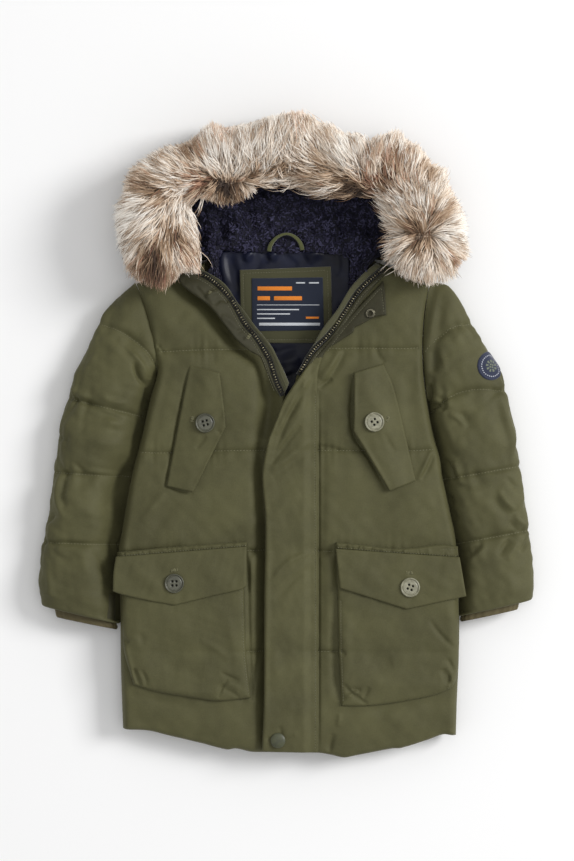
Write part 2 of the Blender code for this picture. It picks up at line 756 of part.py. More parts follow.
def pockets():
    for side, outline in POCKETS.items():
        ring = path(outline)
        sewn = ring[1:] + ring[:1]
        inner = shrunk(ring[::-1], POCKET_SEWN_RIM)
        inner_path = [*inner, inner[0]]

        def lift(place, sewn=sewn):
            share = min(1.0, distance_to(place, sewn) / POCKET_SEWN_RIM)
            return GAP + POCKET_HOLLOW * share

        slab(
            f"pocket_{side}", ring, front_top,
            lambda place, lift=lift: front_top.height(place) + lift(place),
            lambda place, lift=lift: front_top.height(place) + lift(place) + POCKET_WALL,
            SHELL_CLOTH, extra=[inner_path],
        )
        strip, flap = path(POCKET_STRIPS[side]), path(POCKET_FLAPS[side])
        strip_wall = POCKET_FLAP_LIFT + POCKET_FLAP_WALL - 2 * GAP
        on_front(f"pocket_strip_{side}", strip, GAP, strip_wall)
        on_front(f"pocket_flap_{side}", flap, POCKET_FLAP_LIFT, POCKET_FLAP_WALL)


def round_piece(name, square, radius, lift, thickness, look, holes=()):
    """A flat round piece just clear of the highest cloth under it."""
    centre = at(square)
    rim = disc(centre, radius)
    base = max(front_top.height(place) for place in [centre, *rim]) + lift
    flat_piece(name, rim, base, thickness, look, holes)


def buttons():
    lifts = {
        "chest": GAP + CHEST_FLAP_WALL + GAP,
        "pocket": POCKET_FLAP_LIFT + POCKET_FLAP_WALL + GAP,
    }
    offsets = (-BUTTON_HOLE_OFFSET, BUTTON_HOLE_OFFSET)
    for name, square in BUTTONS.items():
        lift = lifts[name.split("_")[1]]
        holes = [
            disc(at(square) + Vector((x, y)), BUTTON_HOLE_RADIUS, HOLE_COUNT)
            for x in offsets for y in offsets
        ]
        round_piece(name, square, BUTTON_RADIUS, lift, BUTTON_THICKNESS, HORN, holes)


def studs():
    """The press stud's cap at the hem, and the socket on the turned back top of the flap."""
    stud_lift = FLAP_LIFT + STORM_FLAP_WALL + GAP
    round_piece("stud_hem", STUD_SQUARE, STUD_RADIUS, stud_lift, STUD_THICKNESS, ENAMEL)
    hole = disc(at(SOCKET_SQUARE), SOCKET_HOLE_RADIUS, RING_HOLE_COUNT)
    socket_lift = GAP + STORM_FLAP_WALL + GAP
    round_piece(
        "stud_socket", SOCKET_SQUARE, SOCKET_RADIUS, socket_lift, SOCKET_THICKNESS,
        DARK_METAL, [hole],
    )


# ---------------------------------------------------------------- sleeves and cuffs
def ring_point(outer, inner, height, wall, turn, bow):
    """A point of a tube's section, wall inside its outside; turn 0 is the inner fold. The
    section's plane bows sideways in its middle."""
    middle = (outer + inner) / 2
    half = (inner - outer) / 2
    across = math.copysign(abs(math.cos(turn)) ** TUBE_SIDES, math.cos(turn))
    up = math.sin(turn)
    level = height * TUBE_MIDDLE
    spread = (half.length - wall) / half.length
    if up >= 0:
        z = level + (height - wall - level) * up ** TUBE_TOP
    else:
        z = level - (level - wall) * min(1.0, TUBE_FLATTENING * (-up) ** TUBE_UNDER)
    aside = Vector((-half.y, half.x)).normalized() * bow * (1 - across * across)
    place = middle + half * spread * across + aside
    return Vector((place.x, place.y, z))


def tube_rings(stations, wall):
    return [
        [ring_point(outer, inner, height, wall, turn, bow) for turn in turns(RING_POINTS)]
        for outer, inner, height, bow in stations
    ]


def tube(name, stations, outside, inside, look):
    """A tube along stations of (outer, inner, height, bow), between two depths of wall."""
    rings = tube_rings(stations, outside) + tube_rings(stations, inside)[::-1]
    loft(name, rings, look, ring=True)


def sleeve_stations(side):
    """The stations of a sleeve, from its armhole seam down to its hem."""
    (column, row), (end_column, end_row), bow = ARMHOLES[side]
    inwards = 1 if side == "right" else -1
    away = -inwards * ARMHOLE_CLEARANCE
    shoulder, underarm = at((column + away, row)), at((end_column + away, end_row))
    top = (shoulder, underarm, ARMHOLE_HEIGHT, inwards * bow * GRID)
    return [top] + [(at(row[0:2]), at(row[2:4]), row[4], 0.0) for row in SLEEVES[side]]


def between_stations(first, second, share):
    return tuple(a + (b - a) * share for a, b in zip(first, second))


def sleeves():
    for side in SLEEVES:
        stations = sleeve_stations(side)
        tube(f"sleeve_{side}", stations, 0.0, SLEEVE_WALL, SHELL_CLOTH)
        cuff = [between_stations(*stations[-2:], share) for share in CUFF_STATIONS]
        depth = SLEEVE_WALL + CUFF_CLEARANCE
        tube(f"cuff_{side}", cuff, depth, depth + CUFF_WALL, RIBBED_TAPE)


def left_arm():
    """The outside of the left sleeve, for casting rays at."""
    rings = tube_rings(sleeve_stations("left"), 0.0)
    points = [point for ring in rings for point in ring]
    quads = []
    for row in range(len(rings) - 1):
        for i in range(RING_POINTS):
            here, there = row * RING_POINTS, (row + 1) * RING_POINTS
            j = (i + 1) % RING_POINTS
            quads.append((here + i, here + j, there + j, there + i))
    return BVHTree.FromPolygons(points, quads)


def badge():
    """A round patch projected onto the sleeve along its own slanted axis."""
    arm = left_arm()
    lean = math.radians(BADGE_LEAN)
    outwards = Vector((math.sin(lean), 0, math.cos(lean)))
    along = Vector((0, 1, 0))
    across = along.cross(outwards)
    top = at(BADGE_CENTRE)
    centre = arm.ray_cast(Vector((top.x, top.y, FUR_TOP)), Vector((0, 0, -1)))[0]
    bm = bmesh.new()
    under = []
    over = []
    for share in BADGE_RINGS:
        for turn in turns(DISC_COUNT) if share else [0.0]:
            aside = (across * math.cos(turn) + along * math.sin(turn)) * BADGE_RADIUS * share
            hit = arm.ray_cast(centre + aside + outwards * FUR_TOP, -outwards)[0]
            under.append(bm.verts.new(hit + outwards * BADGE_LIFT))
            over.append(bm.verts.new(hit + outwards * (BADGE_LIFT + BADGE_WALL)))
    starts = [1 + DISC_COUNT * ring for ring in range(len(BADGE_RINGS) - 1)]
    for i in range(DISC_COUNT):
        j = (i + 1) % DISC_COUNT
        for side in (under, over):
            bm.faces.new([side[0], side[1 + i], side[1 + j]])
            for low, high in zip(starts, starts[1:]):
                bm.faces.new([side[low + i], side[high + i], side[high + j], side[low + j]])
        rim = starts[-1]
        bm.faces.new([under[rim + i], under[rim + j], over[rim + j], over[rim + i]])
    finish("badge", bm, WOVEN_NAVY)


# ---------------------------------------------------------------- hood
def hood_places(row):
    """The fur's outer and inner edge and the lining's edge in a row of HOOD."""
    return at(row[0:2]), at(row[2:4]), at(row[4:6])


def upright(start, end, profile):
    """A section in the upright plane from start to end: profile rows are the share of the
    way, millimetres added to it, and the height."""
    run = end - start
    step = run.normalized()
    points = []
    for share, extra, height in profile:
        place = start + run * share + step * extra
        points.append(Vector((place.x, place.y, height)))
    return points


def shell_section(start, wall, foot=0.0):
    """A slice of the hood's shell: its floor from the neck seam, and its wall. The corner
    between them is rounded outside and inside."""
    floor = TEDDY_BASE - GAP
    top = RIM_HEIGHT - GAP
    return upright(start, wall, (
        (0, 0, foot), (1, -8, foot), (1, -1.5, foot + 5), (1, 0, foot + 12),
        (1, 0, top), (1, -HOOD_WALL, top), (1, -HOOD_WALL, max(20, foot + 14)),
        (1, -HOOD_WALL - 8, max(floor - 0.5, foot + 9)), (0, 0, max(floor - 1.5, foot + 8)),
    ))


def hood_shell():
    """Three panels, with the two seams along the sides of the middle one."""
    names = ("hood_side_right", "hood_centre", "hood_side_left")
    low, high = BACK_NECK_COLUMNS
    begin, end = HOOD_SHELL_ROWS[0], HOOD_SHELL_ROWS[-1]
    for name, first, last in zip(names, HOOD_SHELL_ROWS, HOOD_SHELL_ROWS[1:]):
        sections = []
        for index in range(first, last + 1):
            outer, inner, _ = hood_places(HOOD[index])
            share = (index - begin) / (end - begin)
            start = at((low + (high - low) * share, NECK_SEAM_ROW))
            wall = outer.lerp(inner, WALL_SHARE)
            run = (wall - start).normalized()
            shift = {first: GAP / 2, last: -GAP / 2}.get(index, 0.0)
            aside = Vector((run.y, -run.x, 0)) * shift
            sections.append([point + aside for point in shell_section(start, wall)])
        for index, position in ((first, 0), (last, len(sections))):
            if index in SHELL_ENDS:
                start, wall = path(SHELL_ENDS[index])
                sections.insert(position, shell_section(start, wall, SHELL_END_FOOT))
        loft(name, sections, SHELL_CLOTH)


def collar_section(edge, rim):
    """The lining where it stands up beside the neck."""
    top = COLLAR_RIM_HEIGHT
    return upright(edge, rim, (
        (0, 0, TEDDY_BASE + 2), (0.5, 0, 22), (1, 0, 30), (1, 0, top),
        (1, -TEDDY_WALL, top), (0.6, -TEDDY_WALL, 30), (0.2, 0, TEDDY_TOP + 1),
        (0, 0, TEDDY_TOP),
    ))


def bowl_section(edge, wall):
    """The lining where it lies in the bowl of the hood: its floor, and up the wall."""
    back = -HOOD_WALL - LINING_CLEARANCE
    front = back - TEDDY_WALL
    top = RIM_HEIGHT - GAP
    return upright(edge, wall, (
        (0, 0, TEDDY_BASE), (1, back - 9, TEDDY_BASE), (1, back, 21), (1, back, top),
        (1, front, top), (1, front - 7, 24), (0, 22, TEDDY_TOP), (0, 0, TEDDY_TOP),
    ))


def hood_lining():
    sections = []
    for index, row in enumerate(HOOD):
        outer, inner, edge = hood_places(row)
        if index in COLLAR_RIMS:
            sections.append(collar_section(edge, at(COLLAR_RIMS[index])))
        else:
            sections.append(bowl_section(edge, outer.lerp(inner, WALL_SHARE)))
    loft("hood_lining", sections, TEDDY_NAVY)


def fur_trim():
    """The reach of the fur: it sits on the wall's rim and spreads over both its sides."""
    sections = []
    bed = RIM_HEIGHT
    for row in HOOD:
        outer, inner, _ = hood_places(row)
        skirt = min(row[6], bed - 2)
        heights = (skirt, (skirt + bed) / 2)
        profile = [(share, 0, z) for share, z in zip(FUR_OUTER_SHARES, heights)]
        profile += [(share, 0, z) for share, z in FUR_CROWN]
        heights = (bed + 2, bed, bed, skirt)
        profile += [(share, 0, z) for share, z in zip(FUR_BED_SHARES, heights)]
        sections.append(upright(outer, inner, profile))
    loft("fur_trim", sections, FUR_CREAM)


for old in list(bpy.data.objects):
    bpy.data.objects.remove(old)

body_panels()
neck_inside()
front_edges()
closed_zip()
storm_flap()
chest_flaps()
pockets()
buttons()
studs()
sleeves()
badge()
hood_shell()
hood_lining()
fur_trim()
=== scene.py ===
# %% [markdown]
# # A child's parka, laid flat
# The coat lies on its back with the front up: an olive padded shell, a fleece lined hood with
# a long fur trim, a storm flap over the zip, patch pockets and slanted chest flaps. Each piece
# is made here as the tailor cuts it, as a thin shell on the form that the frame gives it.

# %% Load the frame
import math

import bpy
import numpy as np
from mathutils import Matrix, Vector, noise
from mathutils.bvhtree import BVHTree
from mathutils.kdtree import KDTree
from mathutils.geometry import delaunay_2d_cdt


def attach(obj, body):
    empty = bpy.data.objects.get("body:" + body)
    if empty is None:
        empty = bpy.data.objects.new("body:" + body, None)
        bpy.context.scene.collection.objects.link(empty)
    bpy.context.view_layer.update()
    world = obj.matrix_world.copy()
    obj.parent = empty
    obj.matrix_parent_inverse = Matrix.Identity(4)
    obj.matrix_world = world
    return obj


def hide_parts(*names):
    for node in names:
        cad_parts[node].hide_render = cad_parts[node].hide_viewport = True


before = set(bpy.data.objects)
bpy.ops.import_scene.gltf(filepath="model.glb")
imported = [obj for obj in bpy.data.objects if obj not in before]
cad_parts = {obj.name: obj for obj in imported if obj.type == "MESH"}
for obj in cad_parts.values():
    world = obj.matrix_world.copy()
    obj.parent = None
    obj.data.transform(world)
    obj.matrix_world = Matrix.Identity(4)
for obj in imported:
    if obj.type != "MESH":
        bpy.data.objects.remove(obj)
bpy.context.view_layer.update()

# %% [markdown]
# ## The pattern grid
# A tailor lays the coat on squared paper. Every outline below is given in those squares, as
# (column, row) counted right and down, and one function turns squares into millimetres. Blender
# works in metres, so the last step before a mesh is made is a factor of a thousandth.

# %% Squares to millimetres
GRID = 1.13
ORIGIN_SQUARE = np.array((289.0, 437.0))
MM = 0.001


def at(squares):
    """One or many (column, row) squares as places in millimetres."""
    return (np.asarray(squares, float) - ORIGIN_SQUARE) * (GRID, -GRID)


def column_row(places):
    """Places in millimetres as columns and rows of the grid."""
    squares = places / (GRID, -GRID) + ORIGIN_SQUARE
    return squares[:, 0], squares[:, 1]


print("the grid's square (0, 0) is at", at((0, 0)), "mm")

# %% [markdown]
# ## Smooth outlines
# A seam drawn by hand is a few points joined by a soft curve, with sharp corners only where the
# cloth is turned. A Hermite curve does that: it passes through every point, and the direction at
# each point is taken from its neighbours. At a sharp corner the directions are left separate.

# %% Curves through given points
CORNER = math.radians(38)


def turn_between(before, after):
    bend = math.atan2(before[0] * after[1] - before[1] * after[0], before @ after)
    return abs(bend)


def soft_curve(start, leave, end, arrive, share):
    """The place a share of the way from start to end, with the directions at both given."""
    square, cube = share * share, share ** 3
    return (start * (2 * cube - 3 * square + 1) + leave * (cube - 2 * square + share)
            + end * (3 * square - 2 * cube) + arrive * (cube - square))


def smooth(places, step, closed=False, corner=CORNER):
    """Points a step apart on a soft curve through the places, with sharp bends kept sharp."""
    places = np.asarray(places, float)
    count = len(places)
    curve = []
    for i in range(count if closed else count - 1):
        start, end = places[i], places[(i + 1) % count]
        before = places[i - 1] if closed or i else start
        after = places[(i + 2) % count] if closed or i + 2 < count else end
        run = end - start
        length = math.hypot(*run)
        leave, arrive = run, run
        if before is not start and turn_between(start - before, run) < corner:
            leave = (end - before) / math.hypot(*(end - before)) * length
        if after is not end and turn_between(run, after - end) < corner:
            arrive = (after - start) / math.hypot(*(after - start)) * length
        for share in np.arange(0, 1 - 1e-9, 1 / max(1, round(length / step))):
            curve.append(soft_curve(start, leave, end, arrive, share))
    if not closed:
        curve.append(places[-1])
    return np.array(curve)


def follow(places, path):
    """For each place: distance to the path, its side (+1 left) and the length along the path."""
    best = np.full(len(places), np.inf)
    side = np.ones(len(places))
    reach = np.zeros(len(places))
    gone = 0.0
    for start, run in zip(path, np.diff(path, axis=0)):
        length = math.hypot(*run)
        away = places - start
        share = np.clip(away @ run / length ** 2, 0, 1)
        offset = away - share[:, None] * run
        distance = np.hypot(offset[:, 0], offset[:, 1])
        closer = distance < best
        best[closer] = distance[closer]
        side[closer] = np.sign(run[0] * away[:, 1] - run[1] * away[:, 0])[closer]
        reach[closer] = gone + share[closer] * length
        gone += length
    return best, side, reach


def closed_path(ring):
    return np.vstack((ring, ring[:1]))


def run_along(line):
    """Millimetres from the first of a line of points to each of them."""
    return np.concatenate(((0,), np.cumsum(np.linalg.norm(np.diff(line, axis=0), axis=1))))


def even_turns(count):
    """Angles spread evenly over a full turn."""
    return np.linspace(0, 2 * math.pi, count, endpoint=False)


def soft_step(share):
    """From 0 to 1 with a level start and end."""
    return share * share * (3 - 2 * share)


def beside(path, distance):
    """The path moved to its left."""
    ahead = np.gradient(path, axis=0)
    ahead /= np.hypot(ahead[:, 0], ahead[:, 1])[:, None]
    return path + np.stack((-ahead[:, 1], ahead[:, 0]), 1) * distance


print("a quarter circle from two corners:", len(smooth(at([(0, 0), (10, 0), (20, 5)]), 2.0)))

# %% [markdown]
# ## Flat cuts of cloth
# A panel is cut flat and then shaped, and the same order works here. The outline is filled with
# evenly spaced points, a Delaunay triangulation joins them, and a height is given to each point
# afterwards. Rows of points close to the rim let the edge roll over like turned cloth.

# %% Fill an outline with triangles
def counter_clockwise(ring):
    after = np.roll(ring, -1, axis=0)
    area = (ring[:, 0] * after[:, 1] - ring[:, 1] * after[:, 0]).sum()
    return ring if area > 0 else ring[::-1]


def inset(ring, distance):
    """A counter clockwise ring moved inwards."""
    ahead = np.roll(ring, -1, axis=0) - np.roll(ring, 1, axis=0)
    ahead /= np.hypot(ahead[:, 0], ahead[:, 1])[:, None]
    return ring + np.stack((-ahead[:, 1], ahead[:, 0]), 1) * distance


def fill(ring, spacing, rim_steps=(), lines=()):
    """Triangles over a ring. The ring's own points come first in the result."""
    low, high = ring.min(0), ring.max(0)
    columns = np.arange(low[0], high[0], spacing)
    rows = np.arange(low[1], high[1], spacing * 0.866)
    grid = np.stack(np.meshgrid(columns, rows), -1)
    grid[1::2, :, 0] += spacing / 2
    points = grid.reshape(-1, 2)
    border = closed_path(ring)
    extra = [inset(ring, step) for step in rim_steps] + list(lines)
    extra = np.vstack(extra) if extra else np.zeros((0, 2))
    clear = spacing * 0.5 + max((*rim_steps, 0.0))
    points = points[follow(points, border)[0] > clear]
    if len(extra):
        from_rim = follow(extra, border)[0]
        extra = extra[from_rim > 0.1]
        near = np.zeros(len(points), bool)
        for line in lines:
            near |= follow(points, line)[0] < spacing * 0.45
        points = points[~near]
    given = np.vstack((ring, extra, points))
    ring_indices = list(range(len(ring)))
    cut = delaunay_2d_cdt([Vector(p) for p in given], [], [ring_indices], 0, 1e-4)
    flat, faces, origins, sources = cut[0], cut[2], cut[3], cut[5]
    kept = [face for face, source in zip(faces, sources) if set(source) == {0}]
    place_of = {}
    for new, olds in enumerate(origins):
        for old in olds:
            if old < len(ring):
                place_of[old] = new
    order = [place_of[i] for i in ring_indices]
    in_ring = set(order)
    order += sorted({corner for face in kept for corner in face} - in_ring)
    index_of = {old: new for new, old in enumerate(order)}
    kept = [tuple(index_of[corner] for corner in face) for face in kept]
    return np.array([flat[i] for i in order]), kept


test_ring = counter_clockwise(smooth(at([(0, 0), (40, 0), (40, 40), (0, 40)]), 2, closed=True))
print("a square of cloth:", len(fill(test_ring, 2.0)[1]), "triangles")

# %% [markdown]
# ## Folds, ripples and puckers
# Cloth never lies as a plain surface. Three height maps are added to every panel: strokes are
# the large creases, each placed along a short path; ripples are soft uneven waves that
# have no plan; puckers are the small gathers that a tight row of stitches pulls beside itself.

# %% Height maps for creases
def bell(distance, width):
    return np.exp(-(distance / width) ** 2)


def crease(row):
    """Splits a row of a table of creases into its path in squares, width, height and fold."""
    ends = len(row) - 2 - len(row) % 2
    width, height, *fold = row[ends:]
    return np.reshape(row[:ends], (-1, 2)), width, height, fold[0] if fold else 0


def strokes(places, table, depth=1.0):
    """The sum of listed creases, depth times as high as in the table. A row is column, row,
    column, row and so on, then width, height[, fold] in mm: a ridge where height is positive,
    and fold lifts its left side and lowers its right one."""
    total = np.zeros(len(places))
    for squares, width, height, fold in map(crease, table):
        path = smooth(at(squares), 3.0)
        low, high = path.min(0) - 3 * width, path.max(0) + 3 * width
        near = np.all((places > low) & (places < high), axis=1)
        if not near.any():
            continue
        distance, side, reach = follow(places[near], path)
        length = np.hypot(*np.diff(path, axis=0).T).sum()
        taper = np.sin(math.pi * np.clip(reach / length, 0, 1)) ** 0.6
        shape = height * bell(distance, width)
        shape += fold * side * (distance / width) * bell(distance, width)
        total[near] += shape * taper * depth
    return total


def fine_lines(table, narrow=4.2):
    """Rows of mesh points along the narrow creases, so that they stay crisp."""
    lines = []
    for squares, width, _, _ in map(crease, table):
        if width < narrow:
            path = smooth(at(squares), 1.2)
            lines += [beside(path, shift * width) for shift in (-1.3, -0.6, 0.0, 0.6, 1.3)]
    return lines


def ripples(places, length, seed):
    """Soft uneven waves about length mm long, roughly from -1 to 1, alike on every run."""
    draw = np.random.default_rng(seed)
    total = np.zeros(len(places))
    for _ in range(16):
        turn = draw.uniform(0, 2 * math.pi)
        pace = 2 * math.pi / (length * draw.uniform(0.7, 1.6))
        phase = draw.uniform(0, 2 * math.pi)
        total += np.sin((places @ (math.cos(turn), math.sin(turn))) * pace + phase)
    return total / 5.0


def gathers(reach, seed, shortest=6.0, longest=26.0):
    """An uneven wave along a row of stitches, from about -1 to 1."""
    draw = np.random.default_rng(seed)
    total = np.zeros(len(reach))
    for _ in range(9):
        total += np.sin(reach * 2 * math.pi / draw.uniform(shortest, longest)
                        + draw.uniform(0, 2 * math.pi))
    strength = 0.6 + 0.5 * np.sin(reach * 2 * math.pi / draw.uniform(50, 90)
                                  + draw.uniform(0, 2 * math.pi))
    return total / 3.2 * strength


print("ripples of 20 mm at the origin:", ripples(np.zeros((1, 2)), 20, 1))

# %% [markdown]
# ## Materials by how the cloth is made
# The shell is polyester taffeta with a peached face: fine filaments brushed until they are
# matt, so the light spreads and the edges of folds carry a soft bloom. Colours are picked as
# sRGB hex values, and one function turns them to the linear values that a shader needs.

# %% Colour and node helpers
def linear(hex_colour):
    """An sRGB hex colour as linear RGBA."""
    parts = [int(hex_colour[i:i + 2], 16) / 255 for i in (0, 2, 4)]
    return [c / 12.92 if c <= 0.04045 else ((c + 0.055) / 1.055) ** 2.4 for c in parts] + [1]


def add(tree, kind, inputs=None, stops=(), **settings):
    """Adds a node with its settings. An input is given a value, or a socket to link from, and
    stops are (place, hex colour) rows along a colour ramp."""
    made = tree.nodes.new("ShaderNode" + kind)
    for name, value in settings.items():
        setattr(made, name, value)
    for name, value in (inputs or {}).items():
        if isinstance(value, bpy.types.NodeSocket):
            tree.links.new(value, made.inputs[name])
        else:
            made.inputs[name].default_value = value
    while stops and len(made.color_ramp.elements) < len(stops):
        made.color_ramp.elements.new(0.5)
    for number, (position, colour) in enumerate(stops):
        made.color_ramp.elements[number].position = position
        made.color_ramp.elements[number].color = linear(colour)
    return made


def start(name):
    """A new material, its node tree and its one surface shader."""
    made = bpy.data.materials.new(name)
    made.use_nodes = True
    return made, made.node_tree, made.node_tree.nodes["Principled BSDF"]


def give(tree, shader, **sockets):
    """Sets or links sockets of the shader; a space in a socket's name is written as _."""
    for name, value in sockets.items():
        socket = shader.inputs[name.replace("_", " ")]
        if isinstance(value, bpy.types.NodeSocket):
            tree.links.new(value, socket)
        else:
            socket.default_value = value


def wave_scale(pitch_mm):
    """The scale at which a wave texture has one band every pitch_mm."""
    return 2 * math.pi * 1000 / (20 * pitch_mm)


print("mid olive, linear:", [round(c, 3) for c in linear("5c5a3c")])

# %% Peached polyester taffeta
def taffeta(name, dark, light, thread_mm=1.1, bump=0.05, sheen=0.11, roughness=0.72):
    """Plain woven polyester. Its threads are 0.15 mm apart on the real cloth; they are drawn
    1.1 mm apart, the finest that shows at the distance a coat is looked at."""
    made, tree, shader = start(name)
    place = add(tree, "TexCoord").outputs["Object"]
    cloud = add(tree, "TexNoise", {"Vector": place, "Scale": 18, "Detail": 5, "Roughness": 0.6})
    speck = add(tree, "TexNoise", {"Vector": place, "Scale": 900, "Detail": 2})
    blend = add(tree, "Mix", {0: 0.35, 2: cloud.outputs["Fac"], 3: speck.outputs["Fac"]})
    ramp = add(tree, "ValToRGB", {"Fac": blend.outputs[0]}, ((0.36, dark), (0.64, light)))
    thread = {"Vector": place, "Scale": wave_scale(thread_mm), "Distortion": 0.4}
    warp = add(tree, "TexWave", thread, bands_direction="DIAGONAL")
    weft = add(tree, "TexWave", thread, bands_direction="X")
    weave = add(tree, "Mix", {0: 0.5, 2: warp.outputs["Fac"], 3: weft.outputs["Fac"]})
    crumple = add(tree, "TexNoise", {"Vector": place, "Scale": 70, "Detail": 4})
    fine = add(tree, "Bump", {"Strength": bump, "Distance": 0.0004, "Height": weave.outputs[0]})
    soft = add(tree, "Bump", {"Strength": 0.10, "Distance": 0.004,
                              "Height": crumple.outputs["Fac"], "Normal": fine.outputs[0]})
    give(tree, shader, Base_Color=ramp.outputs["Color"], Normal=soft.outputs[0],
         Roughness=roughness, IOR=1.5, Specular_IOR_Level=0.35, Sheen_Weight=sheen,
         Sheen_Roughness=0.5)
    shader.inputs["Sheen Tint"].default_value = linear("b8b68c")
    return made


shell_cloth = taffeta("peached_taffeta_olive", "454328", "545233")
# a darker copy of the shell cloth for the inside of the sleeves and the back: painted shade
shell_shaded = taffeta("peached_taffeta_olive_painted_shade", "33311d", "3f3d26", sheen=0.08)
# a still darker copy for the edge bands and the storm flap's turned back top: painted shade
shell_painted_deep_shade = taffeta("peached_taffeta_olive_painted_deep_shade", "2b2918", "363420", sheen=0.1)
cuff_cloth = taffeta("gathered_taffeta_olive_brown", "50482f", "5e553a", sheen=0.3)
print("shell cloth:", shell_cloth.name, len(shell_cloth.node_tree.nodes), "nodes")

# %% [markdown]
# ## From heights to a piece
# One function turns a filled outline into a cloth piece: a face on top, an underside a wall's
# thickness below it, and a rim that rolls from one to the other. It also hangs the piece on the
# body it moves with, hides the solid of the frame that it stands for, and gives it its finishes.


def new_piece(name, points, faces, looks, slot, nodes=(), body="coat", look_of_face=None):
    mesh = bpy.data.meshes.new(name)
    points = np.maximum(np.asarray(points), (-1e6, -1e6, 0.0))      # nothing sinks into the table
    mesh.from_pydata(points * MM, [], faces)
    for look in looks if isinstance(looks, (list, tuple)) else [looks]:
        mesh.materials.append(look)
    if look_of_face is not None:
        mesh.polygons.foreach_set("material_index", np.asarray(look_of_face, np.int32))
    mesh.shade_smooth()
    piece = bpy.data.objects.new(name, mesh)
    bpy.context.scene.collection.objects.link(piece)
    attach(piece, body)
    if nodes:
        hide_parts(*nodes)
    size = np.ptp(np.asarray(points), axis=0)
    print(f"{name}: {len(faces)} faces, {size[0]:.0f} x {size[1]:.0f} x {size[2]:.0f} mm")
    return piece


def rounded(distance, radius):
    """From 0 at an edge to 1 a radius in from it, along a quarter circle."""
    return np.sqrt(1 - (1 - np.clip(distance / radius, 0, 1)) ** 2)


def facing_down(faces, rim, shift):
    """Faces turned over, for an underside whose points follow shift after the rim's own."""
    return [tuple(c if c < rim else c + shift for c in reversed(face)) for face in faces]


def cloth(name, outline, top, under, look, slot, nodes, spacing=2.0, roll=1.6, lines=(),
          step=2.0, inside=None, corner=CORNER):
    """A shell over an outline of squares, between two height functions of places."""
    ring = counter_clockwise(smooth(at(outline), step, closed=True, corner=corner))
    rim_steps = (roll * 0.12, roll * 0.45, roll)
    places, faces = fill(ring, spacing, rim_steps, lines)
    low = under(places)
    distance = follow(places, closed_path(ring))[0]
    high = low + (top(places) - low) * rounded(distance, roll)
    hidden, hidden_faces = fill(ring, spacing * 2.2)
    rim = len(ring)
    points = np.vstack((
        np.column_stack((places, high)),
        np.column_stack((hidden[rim:], under(hidden[rim:]))),
    ))
    below = facing_down(hidden_faces, rim, len(places) - rim)
    marks = [0] * len(faces) + [1] * len(below)
    return new_piece(name, points, faces + below, [look, inside or look], slot, nodes,
                     look_of_face=marks)


print("roll at half a radius:", rounded(np.array([0.5]), 1.0))

# %% [markdown]
# ## The body's surface
# Two layers of cloth with wadding between them are sewn together at the side seams, the
# armholes and the shoulders. From such a seam the padded cloth rises steeply and then levels
# out, as the section of a pillow does. Every flap and pocket later lies on this same surface.

# %% Seams of the body
SEAM_HEIGHT = 22.0
PADDING_REACH = 31.6        # mm from a seam to the level part of the back
FRONT_REACH = 9.0           # the front turns over more tightly
PADDING_RISE = 12.8
ARMHOLE_LIFT = 7.0          # the armholes ride up on the padding of the sleeves
CROWN = 2.0
QUILT_PUFF = 2.6
QUILT_REACH = 18.0
HEM_FALL = 6.5              # the padding thins out towards the hem
ARMHOLE_RIGHT = ((136.5, 283.5), (144.4, 306), (150.3, 329.5), (154.4, 350), (158, 370))
ARMHOLE_LEFT = ((429.5, 282), (424.4, 311.5), (422.3, 341), (423.1, 370.5), (427, 400))
SIDE_RIGHT = (
    (158, 370), (150, 400), (141, 440), (133, 470), (127, 500), (122, 530), (118, 555),
    (120, 600), (121, 672), (123, 728),
)
SIDE_LEFT = (
    (427, 400), (433.5, 434), (440, 458), (443.5, 481), (449.5, 507), (456, 541), (458, 600),
    (459, 650), (457, 700), (456, 735),
)
NECK_RIGHT = (206, 262)
NECK_LEFT = (376, 262)
HEM_RIGHT = (
    (126, 729.5), (148, 730.5), (169, 735.5), (203, 743.5), (227, 749.5), (236, 748.5),
    (253, 752), (285.5, 752),
)
HEM_LEFT = (
    (296.5, 752), (320, 753), (332, 755), (344, 757.5), (358, 755), (392, 748.5), (401, 748),
    (427, 740), (443, 734.5), (453, 735.5),
)
HEM_ROWS = ((118, 727), (148, 730), (203, 743), (253, 752), (291, 752), (344, 757), (453, 735))
V_FOOT = 392
QUILT_SEAMS = (
    ((140, 347), (157, 351.5), (166, 352), (185, 350.7), (222, 349.8), (285.5, 350)),
    ((296.5, 350), (318, 349), (360, 348.4), (412, 348.6), (424, 346)),
    ((134, 452), (160, 453), (200, 451.5), (240, 450.5), (285.5, 450)),
    ((296.5, 450), (330, 450.6), (372, 450.6), (410, 450.8), (440, 449)),
    ((116, 552), (170, 551), (285.5, 550)),
    ((296.5, 550.5), (330, 551), (458, 552)),
    ((117, 652), (200, 651), (285.5, 651)),
    ((296.5, 651), (380, 651), (461, 652)),
)
sewn_right = smooth(at((NECK_RIGHT, *ARMHOLE_RIGHT, *SIDE_RIGHT[1:])), 3)
sewn_left = smooth(at((NECK_LEFT, *ARMHOLE_LEFT, *SIDE_LEFT[1:])), 3)
quilt_paths = [smooth(at(seam), 3) for seam in QUILT_SEAMS]


def quilt_distance(places):
    """Distance to the nearest quilting seam of the fronts."""
    return np.min([follow(places, path)[0] for path in quilt_paths], axis=0)


def seam_height(places):
    """Height of the seams round the body."""
    _, row = column_row(places)
    return SEAM_HEIGHT + ARMHOLE_LIFT * np.interp(row, (262, 285, 365, 410), (0, 1, 1, 0))


def from_seams(places):
    return np.minimum(follow(places, sewn_right)[0], follow(places, sewn_left)[0])


